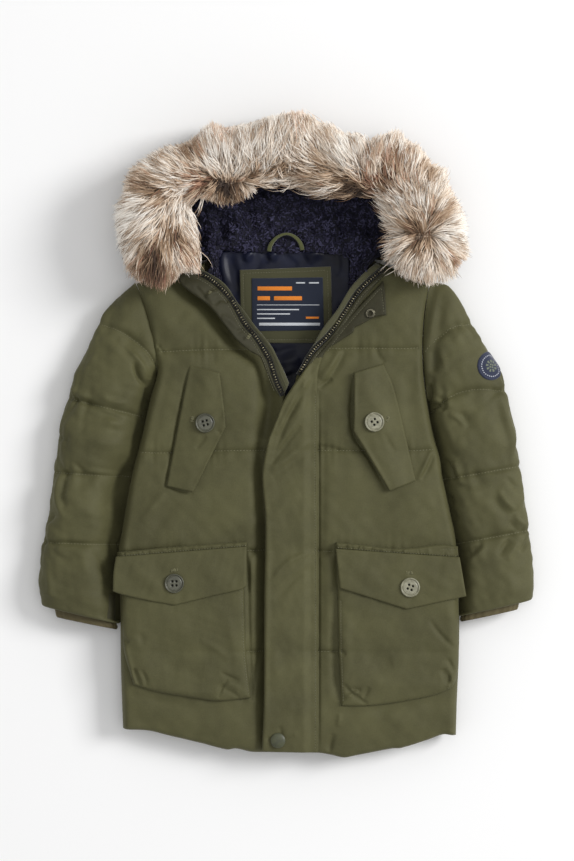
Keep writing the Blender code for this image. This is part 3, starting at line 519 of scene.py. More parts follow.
def front_form(places, tucked=0.0):
    """The padded front without its creases, smooth enough for flaps to lie on. A piece that
    stands off the side seams takes the height that the form has tucked mm in from them."""
    edge = np.maximum(from_seams(places), tucked)
    seam = seam_height(places)
    rise = np.sqrt(1 - (1 - np.clip(edge / FRONT_REACH, 0, 1)) ** 2.4)
    rise *= SEAM_HEIGHT + PADDING_RISE - seam
    column, row = column_row(places)
    right = np.interp(row, [p[1] for p in SIDE_RIGHT], [p[0] for p in SIDE_RIGHT])
    left = np.interp(row, [p[1] for p in SIDE_LEFT], [p[0] for p in SIDE_LEFT])
    across = np.clip((column - right) / (left - right), 0, 1)
    puff = QUILT_PUFF * (1 - np.exp(-quilt_distance(places) / QUILT_REACH))
    over_hem = np.clip((np.interp(column, *zip(*HEM_ROWS)) - row) * GRID, 0, 200)
    return (seam + rise + CROWN * 4 * across * (1 - across)
            + (puff - HEM_FALL * np.exp(-over_hem / 22)) * np.clip(edge / 20, 0, 1))


print("the front's height at the origin:", front_form(np.zeros((1, 2))).round(1), "mm")

# %% Creases of the fronts
FRONT_CREASES = (
    # beside the storm flap the front sinks under its edge
    (266, 380, 268, 410, 264, 440, 263, 480, 266, 540, 266, 640, 266, 700, 266, 790, 9, -9.5),
    (251, 550, 249, 620, 250, 700, 5, 1), (248.5, 560, 249, 620, 252, 700, 2.5, -2.6),
    # a narrow shade along the storm flap's other edge
    (318.8, 388, 318.8, 600, 318.8, 754, 1.5, -2.2),
    (322, 392, 323, 450, 321.5, 560, 321.5, 700, 5, -1.6),
    # below the edge band on the right side, and the soft lip of the shade
    (172, 272, 186, 286, 208, 302.5, 217, 311.5, 223, 319.5, 230.5, 329, 239.5, 340, 251, 350,
     262, 357, 268, 371, 270, 400, 266, 440, 12, -12.5),
    # the front gives way under the free edges of the chest flaps
    (352.6, 377, 352.2, 431, 369, 459, 387.5, 492, 2, -3),
    (189, 368, 178, 425, 166.2, 486, 180, 490.5, 194, 493.5, 1.8, -2.6),
    (150, 306, 178, 338, 198, 362, 216, 392, 12, 1.6),
    # short folds that meet at the storm flap
    (247, 548, 254, 551, 262, 546, 2.2, -1.2), (249, 556, 256, 552, 263, 554, 2.2, -1),
    (262, 638, 257, 668, 251, 700, 3.2, -1.4, 0.8), (262, 732, 263, 742, 262, 753, 3, -2),
    (252, 664, 246, 690, 240, 712, 5, -0.9),
    # by the right armhole
    (153, 354, 159, 346.5, 165, 354, 2, -1.5), (150, 342, 156, 349, 166, 351, 2.6, 1.2),
    (145, 318, 152, 330, 156, 342, 5, 1), (163, 362, 158, 392, 149, 430, 6, 1),
    # by the left armhole
    (376, 348, 379, 356, 385, 363, 3.2, -1.6, 0.8), (404, 362, 409, 400, 414, 440, 8, -1.8),
    (417, 347.5, 419.5, 351.5, 422.5, 347, 1.6, -1.3), (420, 356, 419, 376, 422, 394, 4, 1.2),
    # folds that rise from the zip on the left side
    (319, 389, 325, 383, 332, 379, 2.6, -2), (321, 380, 331, 368, 341, 350, 4, 2.2, 1.2),
    (326, 384, 336, 368, 345, 350, 4, -1.8), (316, 446, 332, 447.5, 345, 452, 2.4, -1.2, 0.5),
    (318, 556, 326, 553, 334, 550, 2.6, -1),
    # long soft folds
    (165, 492, 155, 505, 142, 522, 5, 1.6), (176, 500, 166, 515, 150, 534, 6, -1.4),
    (431, 450, 424, 466, 417, 480, 2.6, 2, 0.6), (434.5, 452, 429, 465, 421, 480, 2.6, -1.8),
    (428, 500, 415, 520, 392, 534, 8, 1), (400, 505, 370, 516, 345, 520, 9, -0.8),
    (336, 552, 337, 570, 338, 590, 4, -3), (246, 552, 247, 570, 247, 592, 3.5, -2.2),
    (340, 712, 339, 718, 338, 726, 2.6, 1.2), (334, 733, 331, 743, 330, 753, 3, -2, 0.8),
    (334.5, 600, 333.5, 650, 337, 700, 4, -2.2), (385, 712, 400, 722, 425, 728, 8, 0.9),
    (140, 705, 165, 716, 200, 722, 8, 0.8), (130, 692, 160, 700, 200, 706, 5, -1),
    (345, 712, 400, 707, 448, 698, 5, -1), (180, 744, 196, 736, 216, 733, 5, -0.8),
    (230, 300, 250, 318, 262, 340, 9, 1),
)
STITCH_WIDTH = 1.5
CREASE_DEPTH = 1.4          # the shell's creases are this many times as deep as in the tables


def front_details(places):
    """Creases, puckers and ripples, without the form that carries them."""
    total = strokes(places, FRONT_CREASES, CREASE_DEPTH)
    for seed, path in enumerate(quilt_paths):
        distance, _, reach = follow(places, path)
        total += 1.0 * gathers(reach, 20 + seed) * np.exp(-distance / 9.0)
        total -= 1.0 * bell(distance, 3.8) + 0.9 * bell(distance, STITCH_WIDTH)
    total += 0.9 * ripples(places, 55, 5) + 0.32 * ripples(places, 19, 6)
    return total


def front_surface(places):
    edge = from_seams(places)
    high = front_form(places) + front_details(places) * np.clip(edge / 7, 0, 1)
    return np.maximum(high, front_inside(places) + 1.2 * np.clip(edge / 7, 0, 1))


# %% Cut the fronts
V_EDGE_RIGHT = ((206, 272), (221, 281), (228.4, 288.4), (236, 300.4), (245, 312.4), (254, 324.5),
                (272, 347), (278, 359), (284, 371), (289, 383))
V_EDGE_LEFT = ((376, 263), (362, 275), (350, 288.4), (341, 303.4), (334, 314), (321.5, 330.3),
               (314, 343.8), (305, 357.3), (299.6, 367.8), (294.5, 379))
front_right_cut = (
    NECK_RIGHT, *ARMHOLE_RIGHT, *SIDE_RIGHT[1:], *HEM_RIGHT, (285.5, V_FOOT),
    *[(column - 0.9, row + 0.6) for column, row in V_EDGE_RIGHT[::-1]],
)
front_left_cut = (
    NECK_LEFT, *ARMHOLE_LEFT, *SIDE_LEFT[1:], *HEM_LEFT[::-1], (296.5, V_FOOT),
    *[(column + 0.9, row + 0.6) for column, row in V_EDGE_LEFT[::-1]],
)


INSIDE_DIPS = (
    (170, 282, 200, 309, 230, 342, 259, 368, 262, 384, 261, 420, 14, -10),
    (262, 400, 262, 470, 264, 560, 264, 700, 264, 780, 9, -9),
)


def front_inside(places):
    """The lining side of the front: level, with dips, and running out to the side seams."""
    seam, share = seam_height(places), np.clip(from_seams(places) / 24, 0, 1)
    dips = strokes(places, INSIDE_DIPS)
    return seam + 0.2 + (SEAM_HEIGHT + 2.4 - seam + dips) * share


front_rings = {}
for side, cut, number in (("right", front_right_cut, 0), ("left", front_left_cut, 1)):
    front_rings[side] = closed_path(counter_clockwise(smooth(at(cut), 3.0, closed=True)))
    close = [path + (0, shift) for path in quilt_paths[number::2]
             for shift in (-2.4, -1.2, 0.0, 1.2, 2.4)]
    near = [path for path in fine_lines(FRONT_CREASES)
            if (path[:, 0].mean() < 2) == (side == "right")]
    cloth(f"front_{side}", cut, front_surface, front_inside, shell_cloth, "shell_cloth",
          [f"front_{side}"], spacing=2.2, roll=4.0, lines=close + near)

# %% [markdown]
# ## The back
# The back lies on the table, so it is flat below and curves up to meet the fronts at the side
# seams. It is quilted like the fronts. The seams show on the outside, up to where the weight of
# the coat presses the cloth level.

# %% Cut the back
LINING_HEIGHT = 11.0


def back_outside(places):
    edge = from_seams(places)
    curve = np.sqrt(1 - (1 - np.clip(edge / PADDING_REACH, 0, 1)) ** 2)
    level = seam_height(places) * (1 - curve)
    pinch = 1.6 * bell(quilt_distance(places), 5.0) * np.clip(edge / 10, 0, 1)
    return np.maximum(level + pinch * (1 - 0.7 * curve), 0.0)


def back_inside(places):
    depth = np.interp(from_seams(places), (0, 8, 15.8, 31.6), (0.15, 0.6, 8.0, LINING_HEIGHT))
    column, row = column_row(places)
    beside_neck = np.maximum(np.abs(column - 283) - 66, 0) * GRID
    depth = np.maximum(depth, LINING_HEIGHT * bell(beside_neck, 8.0) * (row < 400))
    return SEAM_HEIGHT + (seam_height(places) - SEAM_HEIGHT) * (1 - depth / 11) - depth


back_cut = (
    NECK_RIGHT, *ARMHOLE_RIGHT, *SIDE_RIGHT[1:], *HEM_RIGHT[:-1], (291, 752), *HEM_LEFT[1:],
    *SIDE_LEFT[:0:-1], *ARMHOLE_LEFT[::-1], NECK_LEFT, (375, 259), (207, 259),
)
# the back's inner face, under the fronts, takes the darker copy of the shell cloth: painted shade
cloth("back_panel", back_cut, back_inside, back_outside, shell_shaded, "shell_cloth",
      ["back_panel"], spacing=5.0, roll=0.8, step=3.0, inside=shell_cloth)

# %% [markdown]
# ## Sleeves
# A padded sleeve is a tube of cloth quilted into rings. It is made as a grid: stations down the
# arm give its two folds and its height, a curve goes through them, and every point is then
# moved in or out along the surface's own normal: in at the quilting, out between it.

# %% Stations of the sleeves
SLEEVES = {
    # outer column, row; inner column, row; height; sideways bow of the section
    "right": (
        (135.2, 282.5, 158.6, 371, 34, 5.2), (117.5, 299, 158.4, 376, 36, 1.0),
        (100, 322.5, 157.6, 383, 39, 0), (83, 358, 154.6, 393, 41, 0),
        (68, 398, 148, 418, 41, 0), (60, 436, 141, 449, 42, 0), (54, 472, 134, 478, 41, 0),
        (50, 510, 127.2, 511, 42, 0), (43, 542, 121.2, 545, 40, 0), (40.5, 575, 120.6, 585, 41, 0),
        (41, 603, 120.5, 621.5, 39, 0),
    ),
    "left": (
        (430.2, 282, 427.7, 400, 34, -6.8), (451.5, 288, 428.8, 404, 36, -2.0),
        (473, 326, 429.2, 412, 39, 0), (491, 356, 430, 421, 41, 0),
        (506.5, 391, 431.7, 433, 41, 0), (513, 425, 437.7, 457, 42, 0),
        (520.5, 466, 441.2, 480, 41, 0), (524.5, 500, 448.2, 511, 42, 0),
        (529, 530, 454.2, 544, 40, 0), (533, 565, 455.8, 578, 41, 0), (533, 597, 457, 614, 39, 0),
    ),
}
# where the quilting crosses the outer and the inner fold, as station numbers; a number below 0
# is a seam that runs out into the armhole
SLEEVE_QUILTING = {
    "right": ((2.05, 0.3), (4, 4), (6, 6), (8, 8)),
    "left": ((1.95, -1.75), (4, 2.2), (6, 6), (8, 8)),
}
SLEEVE_STEP = 1.7           # mm between the rings of points
SLEEVE_COLUMNS = 132        # points round the arm
TUBE_MIDDLE = 0.42
SLEEVE_PUFF = 3.8


def through(rows, samples):
    """Reads a table of stations at fractional row numbers, on a soft curve through its rows."""
    rows = np.asarray(rows, float)
    slopes = np.gradient(rows, axis=0)
    i = np.clip(samples.astype(int), 0, len(rows) - 2)
    share = (samples - i)[:, None]
    return soft_curve(rows[i], slopes[i], rows[i + 1], slopes[i + 1], share)


def section(outer, inner, height, bow, wall, turn):
    """Points round the arm, wall inside its outside. All arguments are arrays."""
    middle, half = (outer + inner) / 2, (inner - outer) / 2
    reach = np.hypot(half[..., 0], half[..., 1])
    across = np.sign(np.cos(turn)) * np.abs(np.cos(turn)) ** 0.85
    up = np.sin(turn)
    level = height * TUBE_MIDDLE
    over = level + (height - wall - level) * np.abs(up) ** 0.8
    under = level - (level - wall) * np.minimum(1, 1.12 * np.abs(up) ** 0.6)
    aside = np.stack((-half[..., 1], half[..., 0]), -1) / reach[..., None]
    spread = (reach - wall) / reach * across
    place = middle + half * spread[..., None] + aside * (bow * (1 - across ** 2))[..., None]
    return np.dstack((place, np.where(up >= 0, over, under)))


def tube_grid(stations, samples, walls, columns=SLEEVE_COLUMNS):
    """A grid of points: one ring for every sample of the station table."""
    rows = through(stations, samples)[:, None, :]
    turn = np.repeat(even_turns(columns)[None, :], len(samples), 0)
    wide = np.repeat(rows, columns, 1)
    return section(at(wide[..., 0:2]), at(wide[..., 2:4]), wide[..., 4], wide[..., 5],
                   np.asarray(walls)[:, None] + 0 * turn, turn)


def grid_normals(grid):
    """Outward normals of a grid that closes on itself along its second side."""
    along = np.gradient(grid, axis=0)
    around = np.roll(grid, -1, 1) - np.roll(grid, 1, 1)
    normal = np.cross(around, along)
    normal /= np.linalg.norm(normal, axis=2)[..., None] + 1e-9
    centre = grid.mean(1, keepdims=True)
    if ((grid - centre) * normal).sum() < 0:
        normal = -normal
    return normal


def ring_faces(rows, columns, closed=True):
    """The four-sided faces of a grid of points."""
    faces = []
    for row in range(rows - 1):
        for column in range(columns if closed else columns - 1):
            beside = (column + 1) % columns
            here, there = row * columns, (row + 1) * columns
            faces.append((here + column, here + beside, there + beside, there + column))
    return faces


SLEEVE_CREASES = {
    "right": (
        # the shoulder: a ridge inside the outline, a soft first fold, the hollow at the armhole
        (112, 304, 103, 319, 98, 334, 5, 1.8), (92, 356, 77, 384, 74, 398, 5, 1.8),
        (96, 348, 84, 372, 77.5, 396, 3.2, -1.4, 0.8),
        (75, 399, 66, 424, 60.5, 447, 60, 458, 64, 471, 3, -1.6, 1.2),
        (71, 402, 62, 428, 57.5, 452, 3.2, 1.2), (103, 331, 118, 340, 134, 355, 5, -1.6),
        (101, 338, 116, 348, 130, 362, 6, 1.4),
        (134.5, 362, 138, 373, 143, 382, 149, 386, 2.8, -4.6, 1.4),
        (118, 340, 131, 352, 141, 364, 147, 378, 3.2, 2.2, 0.8),
        (149, 388, 150, 398, 152, 408, 3, -3), (92, 408, 108, 414, 124, 421, 3.2, -1.6, 0.8),
        (143, 345, 150, 358, 156, 372, 4, 1.4), (149, 380, 147, 394, 143, 410, 5, -5),
        (120, 300, 128, 318, 134, 338, 9, 1.2),
        # the bent elbow, short folds along the second seam
        (72, 389, 80, 396, 92, 400, 4, 1.8, 1.2), (78, 399, 90, 404, 104, 408, 3.2, -1.6, 0.6),
        (83, 410, 96, 416, 112, 421, 5, -1.2), (98, 396, 112, 402, 128, 404, 4, 1.4, 0.8),
        (128, 410, 136, 417, 141, 426, 3.4, -2, 0.8), (112, 424, 124, 434, 131, 448, 6, -2),
        (106, 418, 119, 428, 128, 440, 5, 1.4), (84, 430, 98, 440, 118, 446, 9, 1.6),
        (70, 412, 64, 430, 61, 448, 5, 1.4),
        # the fold inside the outline below the elbow
        (62, 466, 59, 482, 58, 496, 62, 510, 67, 517, 3.2, 2.4, -1),
        (66, 470, 64.5, 484, 64, 498, 67, 508, 3, -2), (57, 514, 51, 519, 46, 525, 3.2, -2.2, 1),
        (74, 461, 80, 467, 86, 472, 2.8, -1.6, 0.8), (62, 469, 65, 473, 68, 477, 2.4, -1.4),
        (87, 470, 104, 474, 124, 478, 4, 1.6), (133, 468, 125, 480, 117, 494, 113, 510, 9, -8),
        (141, 424, 138, 438, 132, 456, 6, -4), (112, 520, 112, 540, 114, 560, 6, -4.5),
        (92, 478, 102, 490, 106, 506, 5, 1.6),
        # hooks where the seams meet the ridge inside the outline
        (60, 434, 64, 439, 70, 441, 2.6, -1.8), (68, 392, 72, 398, 79, 400, 2.6, -1.8),
        (48, 540, 54, 544, 60, 545, 2.6, -1.6), (112, 508, 110, 522, 107, 538, 5, -2.4),
        (70, 500, 86, 512, 104, 516, 8, 1.6),
        # the lower arm and the hem
        (52, 547, 60, 556, 72, 560, 4, -1.6, 0.6), (56, 541, 74, 543, 94, 544, 3.5, -1),
        (78, 548, 84, 560, 86, 574, 5, 1.4), (94, 546, 102, 558, 107, 574, 4, -2, 0.8),
        (100, 564, 106, 574, 111, 588, 5, -2.6), (60, 584, 76, 592, 96, 598, 7, 1),
        (47, 560, 50, 578, 52, 598, 4, 1.6), (66, 604, 68, 610, 68, 616, 2.6, -0.9),
        (90, 612, 94, 618, 96, 624, 2.6, -0.9),
    ),
    "left": (
        # a strip along the armhole with a ridge beyond it, and a hollow below
        (439, 286, 434, 306, 430, 330, 428, 346, 425.5, 360, 3.2, 2.6),
        (434, 288, 429, 308, 426, 330, 425, 350, 3.4, -2.6),
        (444, 296, 439, 320, 434, 345, 5, -1.2), (430, 348, 434, 360, 431, 374, 5.5, -3.4),
        (438, 352, 444, 362, 444, 374, 4, 1.4), (428, 384, 428.5, 392, 428, 402, 4, -6),
        (428, 403, 436, 405, 444, 410.5, 3, -3, 0.8), (438, 396, 442, 403, 444, 411, 3, -3),
        (446, 392, 447, 400, 449, 408, 3.4, 1.6), (457, 330, 470, 334, 480, 342, 5, 1.4),
        (468, 316, 478, 332, 485, 346, 4, 2), (446, 372, 458, 384, 474, 390, 8, 1.2),
        (463, 322, 470, 330, 474, 342, 4, -1.2),
        # below the second seam
        (448, 414, 457, 419, 466, 428, 3, 1.8, 0.8), (460, 411, 465, 419, 468, 429, 4, -2.2, 0.6),
        (486, 399, 494, 394, 502, 390, 3.2, -1.2), (494, 388, 499, 387, 504, 384, 3, 2),
        (500, 394, 507, 422, 512, 444, 512, 468, 3.6, 2.2, -0.6),
        (494, 398, 501, 424, 505, 446, 5, -1.2), (442, 440, 450, 452, 462, 460, 6, -1.8),
        (443, 458, 449, 468, 453, 480, 4, -6), (452, 462, 455, 470, 458, 478, 3, 2.2),
        (447, 485, 458, 486, 470, 489, 4, -2, 0.6), (449, 494, 451, 500, 452, 506, 3.4, -3),
        (451, 508, 454, 514, 457, 522, 3.6, -3.4),
        # folds on the outer side of the lower arm
        (497, 490, 503, 500, 513, 511, 3.4, 2.4, 0.8), (492, 496, 499, 507, 508, 516, 4, -1.4),
        (506, 476, 512, 484, 520, 490, 3.4, -1.4, 0.8),
        (513, 514, 518, 521, 527, 527, 3.2, 2.2, 1), (508, 520, 514, 527, 521, 532, 3.2, -1.6),
        (462, 486, 472, 500, 478, 516, 7, -1.4),
        (481, 538, 479, 547, 469, 555, 462, 562, 3.6, -2.6, 1),
        (486, 545, 475, 556, 466, 566, 4, 2), (455, 548, 462, 552, 470, 550, 5, -1.8),
        (498, 556, 502, 548, 509, 539, 3.2, -2.8, 1), (506, 560, 511, 551, 517, 542, 3.4, 2),
        (519, 552, 524, 544, 529, 535, 3.4, -2.6, 0.8), (474, 568, 484, 582, 490, 598, 6, -1.2),
        (504, 570, 510, 584, 512, 598, 6, 1.2), (500, 596, 503, 602, 504, 608, 2.6, -0.9),
    ),
}
VALLEY = {
    # mm down the arm, share of the height lost at the inner fold, width of the hollow in mm
    "right": ((0, 0, 10), (30, 0.3, 11), (60, 0.6, 12), (100, 0.72, 15), (140, 0.66, 14),
              (172, 0.9, 24), (200, 0.95, 25), (240, 0.9, 19), (300, 0.82, 15), (340, 0.6, 13)),
    "left": ((0, 0, 8), (50, 0.5, 9), (100, 0.55, 10), (200, 0.55, 11), (340, 0.5, 11)),
}
print("sleeve creases:", {side: len(rows) for side, rows in SLEEVE_CREASES.items()})

# %% Quilt and crease the sleeves
LIP = 3.2                   # radius of the turned hem
LIP_STEPS = 7
HEAD_ROLL = 11.0            # mm over which the padded head dives into the armhole seam
sleeve_trees = {}
sleeve_seams = {}


def length_along(stations, samples):
    """Millimetres down the middle of the arm at each sample."""
    rows = through(stations, samples)
    middle = (at(rows[:, 0:2]) + at(rows[:, 2:4])) / 2
    return run_along(middle)


def sleeve(side, seed):
    stations = SLEEVES[side]
    fine = np.linspace(0, len(stations) - 1, 400)
    lengths = length_along(stations, fine)
    count = int(lengths[-1] / SLEEVE_STEP)
    run = np.linspace(0, lengths[-1], count)
    samples = np.interp(run, lengths, fine)
    grid = tube_grid(stations, samples, np.zeros(count))
    normal = grid_normals(grid)
    across = np.cos(even_turns(SLEEVE_COLUMNS))
    share = (1 + np.sign(across) * np.abs(across) ** 0.85) / 2
    first = np.interp(1, fine, lengths)
    seams = []
    for ends in SLEEVE_QUILTING[side]:
        far, near = [np.interp(s, fine, lengths) + min(s, 0) * first for s in ends]
        seams.append(far + (near - far) * share)
    rows = through(stations, samples)
    inner_fold = at(rows[:, 2:4])[:, None, :]
    reach = np.hypot(*(at(rows[:, 0:2]) - at(rows[:, 2:4])).T)[:, None]
    apart = []
    for seam in seams:
        slant = np.ptp(seam) / reach
        apart.append(np.abs(run[:, None] - seam) / np.hypot(1, slant))
    gap = np.min(apart, axis=0)
    head = np.minimum(run / HEAD_ROLL, 1)[:, None]
    end = np.clip((lengths[-1] - run) / 14, 0, 1)[:, None]
    level = 0.35 + 0.65 * np.abs(normal[..., 2])
    puff = SLEEVE_PUFF * (1 - np.exp(-gap / 13)) - SLEEVE_PUFF * 0.45
    flat = grid[..., :2].reshape(-1, 2)
    mixed = flat + grid[..., 2].reshape(-1, 1) * (1.0, 0.6)
    girth = 2 * 80 * np.linspace(0, 1, SLEEVE_COLUMNS, endpoint=False)
    small = np.zeros(gap.shape)
    for number, far in enumerate(apart):
        pull = gathers(girth, seed + number)[None, :]
        drift = gathers(girth, seed + 40 + number, 30, 80)[None, :]
        small += 1.9 * pull * np.exp(-far / (8 + 5 * np.abs(drift)))
        small -= (1.3 * bell(far, 3.8) + 1.6 * bell(far, 1.7)) * level
    small += 1.2 * ripples(mixed, 42, seed + 70).reshape(count, -1)
    small += 0.5 * ripples(mixed, 16, seed + 80).reshape(count, -1)
    facing = np.clip(normal[..., 2] * 2.0 + 0.2, 0, 1)
    creases = strokes(flat, SLEEVE_CREASES[side], 1.55).reshape(count, -1) * facing
    out = puff * level * head * end + (small + creases) * head * (0.4 + 0.6 * end)
    grid = grid + normal * out[..., None]
    marks_down, lost, width = [np.array(x, float) for x in zip(*VALLEY[side])]
    to_fold = np.hypot(*(grid[..., :2] - inner_fold).transpose(2, 0, 1))
    uneven = 1 + 0.2 * ripples(np.column_stack((run, 0 * run)), 60, seed + 90)
    lost = np.clip(np.interp(run, marks_down, lost) * uneven, 0, 0.95)[:, None]
    grid[..., 2] *= 1 - lost * bell(to_fold, np.interp(run, marks_down, width)[:, None])
    close = np.maximum(rounded(run, HEAD_ROLL), 0.02)[:, None]
    seam_level = seam_height(grid[:, :, :2].reshape(-1, 2)).reshape(count, -1)
    grid[..., 2] = seam_level + (grid[..., 2] - seam_level) * close
    grid[..., 2] = np.maximum(grid[..., 2], 0.1)
    angles = np.linspace(0, math.pi, LIP_STEPS)[1:]
    inner_run = np.array([6.0, 14.0, 26.0])
    last = len(stations) - 1
    per_mm = (fine[-1] - fine[-40]) / (lengths[-1] - lengths[-40])
    walls = np.concatenate((LIP * (1 - np.cos(angles)), np.full(3, 2 * LIP)))
    hem = np.concatenate((np.full(len(angles), float(last)), last - inner_run * per_mm))
    inner = tube_grid(stations, np.minimum(hem, last), walls)
    rows = through(stations, np.array([float(last)]))[0]
    down = at(rows[0:2]) + at(rows[2:4])
    rows_before = through(stations, np.array([last - 0.2]))[0]
    ahead = (down - at(rows_before[0:2]) - at(rows_before[2:4]))
    ahead /= math.hypot(*ahead)
    inner[:len(angles), :, :2] += (LIP * np.sin(angles))[:, None, None] * ahead
    points = np.vstack((grid.reshape(-1, 3), inner.reshape(-1, 3)))
    faces = ring_faces(count + len(inner), SLEEVE_COLUMNS)
    # the inside of the tube past the hem takes the darker copy of the shell cloth: painted shade
    marks = [0] * ((count + len(angles) - 1) * SLEEVE_COLUMNS)
    marks += [1] * (len(faces) - len(marks))
    new_piece(f"sleeve_{side}", points, faces, [shell_cloth, shell_shaded], "shell_cloth",
              [f"sleeve_{side}"], look_of_face=marks)
    sleeve_trees[side] = BVHTree.FromPolygons([Vector(p) for p in points], faces)
    turns = np.arange(SLEEVE_COLUMNS)
    sleeve_seams[side] = []
    for seam in seams:
        nearest = np.abs(run[:, None] - seam[None, :]).argmin(0)
        sleeve_seams[side].append(grid[nearest, turns][seam > 1.0])


sleeve("right", 300)
sleeve("left", 500)

# %% Inner storm cuffs
CUFF_GATHERS = 23
CUFF_SPAN = (0.3, 1.27)     # from and to this share of the sleeve's last stretch
CUFF_WALLS = (9.1, 11.2)    # mm from the sleeve's outside in to the cuff's outer and inner face
CUFF_ASIDE = {"right": 1, "left": -1}       # the cuffs lie over to the body's side
CUFF_DROP = {"right": 5.0, "left": 2.2}     # squares; their outer corners stand further out


def cuff(side):
    """A short gathered tube that stands out of the sleeve's mouth."""
    stations = SLEEVES[side]
    shares = np.linspace(*CUFF_SPAN, 16)
    before, end = np.array(stations[-2], float), np.array(stations[-1], float)
    rows = before + (end - before) * shares[:, None]
    past_mouth = np.clip((shares - 0.98) / 0.2, 0, 1)
    rows[:, 0] += CUFF_ASIDE[side] * (4.5 + 2.0 * past_mouth)       # squares
    rows[:, 1] += CUFF_DROP[side] * past_mouth
    rows[:, 2] += CUFF_ASIDE[side] * (1.2 + 3.2 * past_mouth)
    turn = even_turns(SLEEVE_COLUMNS)[None, :] + 0 * shares[:, None]
    wide = np.repeat(rows[:, None, :], SLEEVE_COLUMNS, 1)
    rib = 0.3 * np.sin(turn * CUFF_GATHERS) + 0.35 * np.sin(turn * 9 + 1.0)
    grids = []
    for depth, order in zip(CUFF_WALLS, (1, -1)):
        lip = 1.1 * (1 - rounded((shares[-1] - shares) * 38, 1.6))[:, None]
        wall = depth + (lip if order == 1 else -lip) - rib * (order == 1)
        grid = section(at(wide[..., 0:2]), at(wide[..., 2:4]), wide[..., 4], wide[..., 5],
                       wall, turn)
        grids.append(grid[::order])
    points = np.vstack([grid.reshape(-1, 3) for grid in grids])
    faces = ring_faces(2 * len(shares), SLEEVE_COLUMNS)
    new_piece(f"cuff_{side}", points, faces, cuff_cloth, "cuff_cloth", [f"cuff_{side}"])


cuff("right")
cuff("left")

# %% [markdown]
# ## Flaps and pockets
# Everything sewn on the fronts is a flat double layer of shell cloth with a turned edge and a
# row of topstitching beside it. Each piece lies a set height over the padded form, so it stays
# clear of what is under it. The stitching sinks into the cloth and draws a fine groove.

# %% Grooves and rows of stitches
STITCH_PITCH = 3.1          # mm from one stitch to the next
STITCH_LENGTH = 2.3
stitch_rows = []            # (path of 3-D points, radius) of every row of stitches


def groove(places, paths, depth=0.55, width=1.0):
    """How far rows of topstitching pull the cloth down."""
    total = np.zeros(len(places))
    for path in paths:
        total -= depth * bell(follow(places, path)[0], width)
    return total


def stitched_cloth(name, outline, lift, wall, rows=(), creases=(), base=front_form, seed=1,
                   soft=0.25, look=shell_cloth, turned=None, **more):
    """A flap on the fronts: lift(places) is its clearance, rows are its stitching lines, and
    turned(places) says where its turned side shows, in a darker cloth that is painted shade."""
    paths = [smooth(at(row), 2.0) for row in rows]
    near = [beside(path, shift) for path in paths for shift in (-1.0, 0.0, 1.0)]
    near += fine_lines(creases)

    def under(places):
        return base(places) + lift(places)

    def top(places):
        relief = (strokes(places, creases, CREASE_DEPTH) + groove(places, paths)
                  + soft * (1.4 * ripples(places, 30, seed) + 0.5 * ripples(places, 11, seed + 1)))
        return base(places) + lift(places) + np.maximum(wall + relief, 0.8)

    piece = cloth(name, outline, top, under, look, "shell_cloth", [name], lines=near, **more)
    # the turned faces take the darker copy of the shell cloth: painted shade
    if turned:
        piece.data.materials.append(shell_painted_deep_shade)
        for face in piece.data.polygons:
            if turned(np.array([face.center[:2]]) / MM)[0]:
                face.material_index = 2
    for path in paths:
        stitch_rows.append(np.column_stack((path, top(path))))


def level(height):
    return lambda places: np.full(len(places), float(height))


# %% Storm flap
FLAP_WALL = 3.0
STORM_FLAP = (
    (262, 751), (264, 700), (264.5, 600), (265.5, 520), (262.5, 473), (268, 441),
    (272.5, 429), (277, 418), (283.5, 401), (291.5, 388), (301.5, 374), (311, 362),
    (322, 350), (341, 326), (383, 281), (385, 297), (386, 316), (375, 317.5), (365, 323),
    (354.5, 328), (353, 333), (336, 344), (328, 349), (321.5, 360), (317.5, 378),
    (317, 480), (317.5, 600), (317.5, 752),
)
STORM_ROWS = (
    ((315.2, 748), (315.2, 600), (314.8, 480), (315.2, 394)),
    ((327, 352), (344, 329.5), (381, 288), (383.5, 313)),
)
STORM_CREASES = (
    (317, 366, 296, 396, 275, 434, 4, 2, 0.8), (304, 388, 297, 403, 288, 420, 3, -1.6),
    (303, 384, 286, 424, 272, 463, 2.8, -1.6, 0.8),
    (301, 426, 286, 444, 272, 465, 2.8, -1.8, 0.8), (306, 398, 290, 430, 272, 456, 5, 1.4),
    (270, 471, 288, 457, 304, 445, 314, 441, 4, 1.6), (272, 478, 292, 463, 312, 452, 4, -1),
    (271, 581, 290, 561, 314, 551, 3.2, 1.6, 0.6), (275, 600, 294, 578, 313, 566, 4, -1.2),
    (272, 520, 286, 500, 300, 492, 7, 1), (292, 708, 296, 724, 300, 744, 6, -0.8),
    (270, 640, 276, 664, 272, 690, 6, 0.8), (279, 724, 281, 731, 279, 736, 2.4, -1),
    (266, 736, 270, 738, 274, 739, 2.4, -0.8), (283, 738, 289, 737, 295, 734, 2.4, -0.8),
    (313, 364, 294, 388, 280, 412, 269, 441, 265, 473, 3, 1.6),
    (264.5, 473, 268, 530, 267, 640, 266, 746, 2.6, 0.9),
    # the turned back top
    (384, 280, 362, 301, 341, 325, 2.6, -2.2, 1.2), (322, 353, 330, 345, 338, 336, 3.4, 1.6),
    (335, 342, 356, 331, 374, 320, 4, 1.2), (344, 330, 358, 318, 372, 303, 5, 0.9),
)


TURNED_BACK = smooth(at(((312, 362), (322, 350), (341, 325.5), (384, 280))), 4.0)


def storm_lift(places):
    """The flap stands up over the teeth, and its turned back top leans up to the right."""
    column, row = column_row(places)
    share = np.clip((312 - column) / 9, 0, 1)
    lean = np.clip(follow(places, TURNED_BACK)[0] / 24, 0, 1) * np.clip((352 - row) / 8, 0, 1)
    return 0.3 + 4.0 * soft_step(share) + 5.0 * lean


